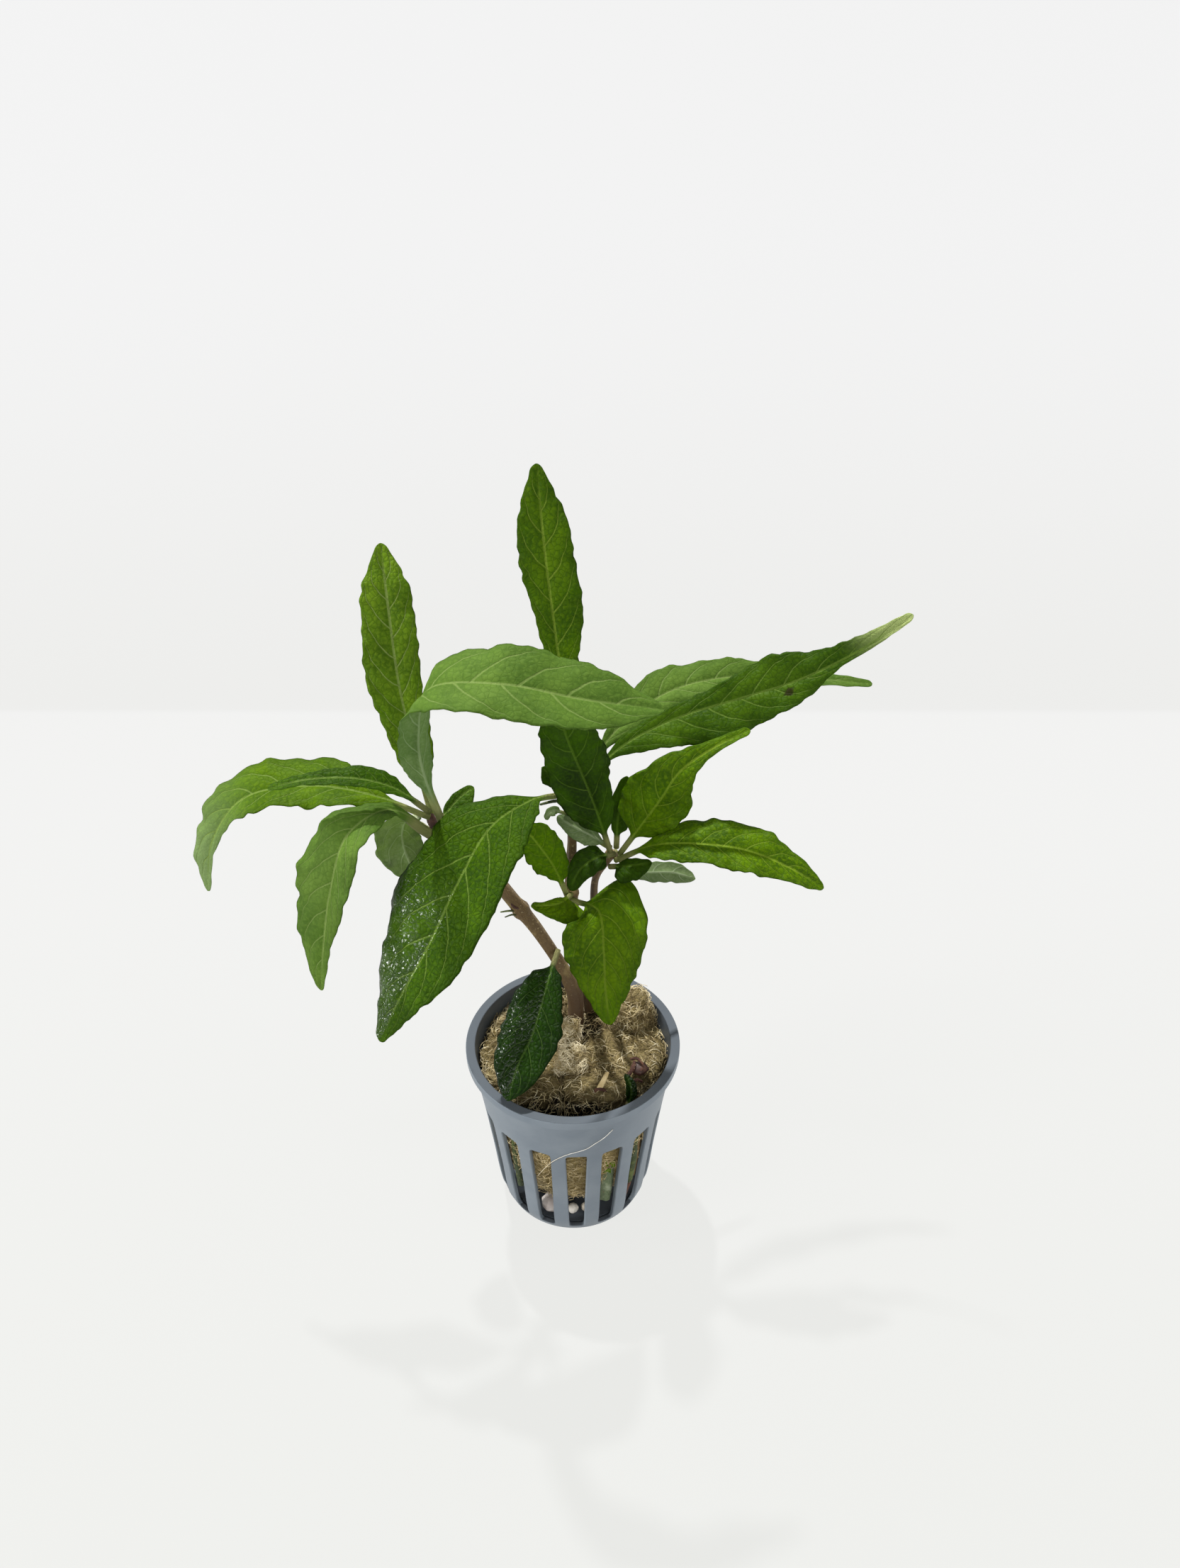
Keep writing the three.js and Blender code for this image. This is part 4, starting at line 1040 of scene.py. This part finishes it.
debris = stem_material("debris", (104, 58, 40), (48, 26, 18), (150, 100, 70), (190, 150, 110))
fresh = stem_material("cut_fibre", (74, 92, 30), (30, 40, 12), (132, 144, 70), (176, 170, 120))
tan_strip = stem_material("tan_strip", (176, 146, 96), (120, 92, 54), (206, 182, 132), (150, 110, 70))
thread = fibre_material("white_thread", (206, 202, 190), (236, 233, 224))
LOOSE = {
    "bud": (debris, "stem_bark", 1.0, [(-28.7, 4.9, 104.4), (-29.2, 5, 106), (-29.4, 5.2, 107.2)]),
    "stick": (fresh, "stem_bark", 0.35, [(-1.2, 11.6, 106.2), (-3.6, 9.6, 107.6), (-6.6, 7.4, 108.2)]),
    "debris_1": (debris, "bark", 0.45, [(12.4, -9.6, 44.6), (13.8, -8.6, 46.4), (14.2, -7, 47.2)]),
    "debris_2": (debris, "bark", 0.35, [(15.8, -10, 43.6), (14.6, -10.6, 44.8), (13, -11.8, 44.6)]),
    "debris_3": (debris, "bark", 0.3, [(13.4, -5.8, 46.4), (14.8, -6.6, 47.4), (16.2, -8, 47)]),
    "debris_4": (debris, "bark", 0.4, [(5, -12.6, 43.4), (6.4, -12.4, 43.8), (7.8, -12.6, 43.2)]),
    "node_fibre_1": (fresh, "stem_bark", 0.22, [(-12.4, 6.6, 80), (-14, 6, 80.6), (-16, 5.8, 80.4)]),
    "node_fibre_2": (fresh, "stem_bark", 0.18, [(-12.2, 6.4, 79), (-13.4, 5.6, 79.8), (-15, 5.2, 79.4)]),
    "node_fibre_3": (debris, "stem_bark", 0.25, [(-12, 6.4, 81), (-12.8, 5.4, 82.2), (-13.4, 5, 83.4)]),
    "slot_strip_1": (fresh, "stem_bark", 1.0, [(13.2, -12.2, 12), (13.9, -12.5, 20), (14.6, -12.9, 30)]),
    "slot_strip_2": (tan_strip, "stem_bark", 0.8, [(14.2, -10.4, 12), (14.8, -10.9, 20), (15.6, -11.2, 29)]),
    "slot_strip_3": (debris, "bark", 0.8, [(12.2, -12.4, 7), (13.6, -11.2, 12), (15, -10, 17)]),
    "slot_strip_4": (fresh, "stem_bark", 0.9, [(-12.6, -12.6, 11), (-13.2, -13, 20), (-13.8, -13.4, 29)]),
    "wall_thread": (thread, "rockwool", 0.07, [
        (9.1, -21.7, 41.2), (7.1, -22.2, 39), (5.2, -22.4, 37.4), (3, -22.4, 35.4), (-1.2, -22.2, 33.3),
        (-4.4, -21.4, 30.1), (-6.5, -20.5, 26.4), (-8.2, -19.5, 22.4)]),
}
for number, (name, (material, slot, radius, path)) in enumerate(LOOSE.items()):
    radii = [radius, radius * 1.1, radius * 0.7]
    dress(build_tube(name, path, radii, material, 300 + number, rows=32, sides=8), slot)


# Stage, light and camera

def stage_material():
    """Paper that gives off the backdrop's linear colours, a little different on the floor and the wall."""
    n = Nodes("stage_paper", to_linear=lambda *colour: colour)
    _, y, z = n.axes(n.here())
    floor = n.mix(n.band(y, -0.12, 0.2), FLOOR_NEAR, FLOOR_FAR)
    wall = n.mix(n.band(z, 0.0, 0.2), WALL_LOW, WALL_HIGH)
    return n.finish(n.surface({
        "Base Color": (STAGE_ALBEDO,) * 3, "Roughness": 0.9, "Specular IOR Level": 0.0,
        "Emission Color": n.mix(n.band(z, 0.0005, 0.002), floor, wall), "Emission Strength": 1.0}))


def build_stage():
    """A floor that turns up into a wall behind the plant."""
    bend_at = STAGE_WALL_AT - STAGE_BEND
    profile = [(-STAGE_REACH, 0.0), (bend_at, 0.0)]
    profile += [(bend_at + STAGE_BEND * math.sin(a), STAGE_BEND - STAGE_BEND * math.cos(a))
                for a in np.linspace(0.2, math.pi / 2, 8)]
    profile += [(STAGE_WALL_AT, STAGE_WALL_TOP)]
    vertices = [(x, y, z - STAGE_SINK) for y, z in profile for x in (-STAGE_REACH, STAGE_REACH)]
    faces = [(2 * i, 2 * i + 1, 2 * i + 3, 2 * i + 2) for i in range(len(profile) - 1)]
    stage = new_object("backdrop", vertices, faces, (stage_material(),))
    stage.visible_shadow = False
    stage.visible_diffuse = False
    stage.visible_transmission = False


def build_light(name, kind, place, target, power, **settings):
    data = bpy.data.lights.new(name, kind)
    data.energy = power
    for key, value in settings.items():
        setattr(data, key, value)
    lamp = show(bpy.data.objects.new(name, data))
    lamp.location = place
    lamp.rotation_euler = (Vector(target) - Vector(place)).to_track_quat("-Z", "Y").to_euler()


def build_camera():
    data = bpy.data.cameras.new("camera")
    data.sensor_fit = "AUTO"
    data.sensor_width = SENSOR_MM
    data.lens = FOCAL_PIXELS * SENSOR_MM / max(PHOTO_WIDTH, PHOTO_HEIGHT)
    data.clip_start = CLIP_START
    camera = show(bpy.data.objects.new("camera", data))
    camera.location = CAMERA_AT
    camera.rotation_euler = (math.pi / 2 - CAMERA_PITCH, 0, 0)
    bpy.context.scene.camera = camera


# Place, target, width, height and power of the area lights, in metres and watts
AREA_LIGHTS = {
    "softbox": ((-0.46, -0.18, 0.14), (-0.03, -0.02, 0.09), 0.1, 0.12, 1.9),
    "top": ((-0.17, -0.04, 0.52), (-0.015, -0.01, 0.06), 0.06, 0.06, 0.6),
    "right": ((0.42, -0.1, 0.12), (0.01, 0, 0.03), 0.3, 0.3, 0.8),
    "front": ((0.2, -0.8, 0.35), (0, 0, 0.06), 0.9, 0.6, 3.2),
}

build_stage()
build_light("key", "SUN", (-0.18, 0.41, 0.89), (0, 0, 0), 4.8, angle=math.radians(2.0))
for name, (place, target, width, height, power) in AREA_LIGHTS.items():
    build_light(name, "AREA", place, target, power, shape="RECTANGLE", size=width, size_y=height)
world = bpy.data.worlds.new("studio")
world.use_nodes = True
backdrop_light = world.node_tree.nodes["Background"].inputs
backdrop_light["Color"].default_value = (1, 1, 1, 1)
backdrop_light["Strength"].default_value = 0.34
bpy.context.scene.world = world
bpy.context.scene.view_settings.view_transform = "Standard"
build_camera()
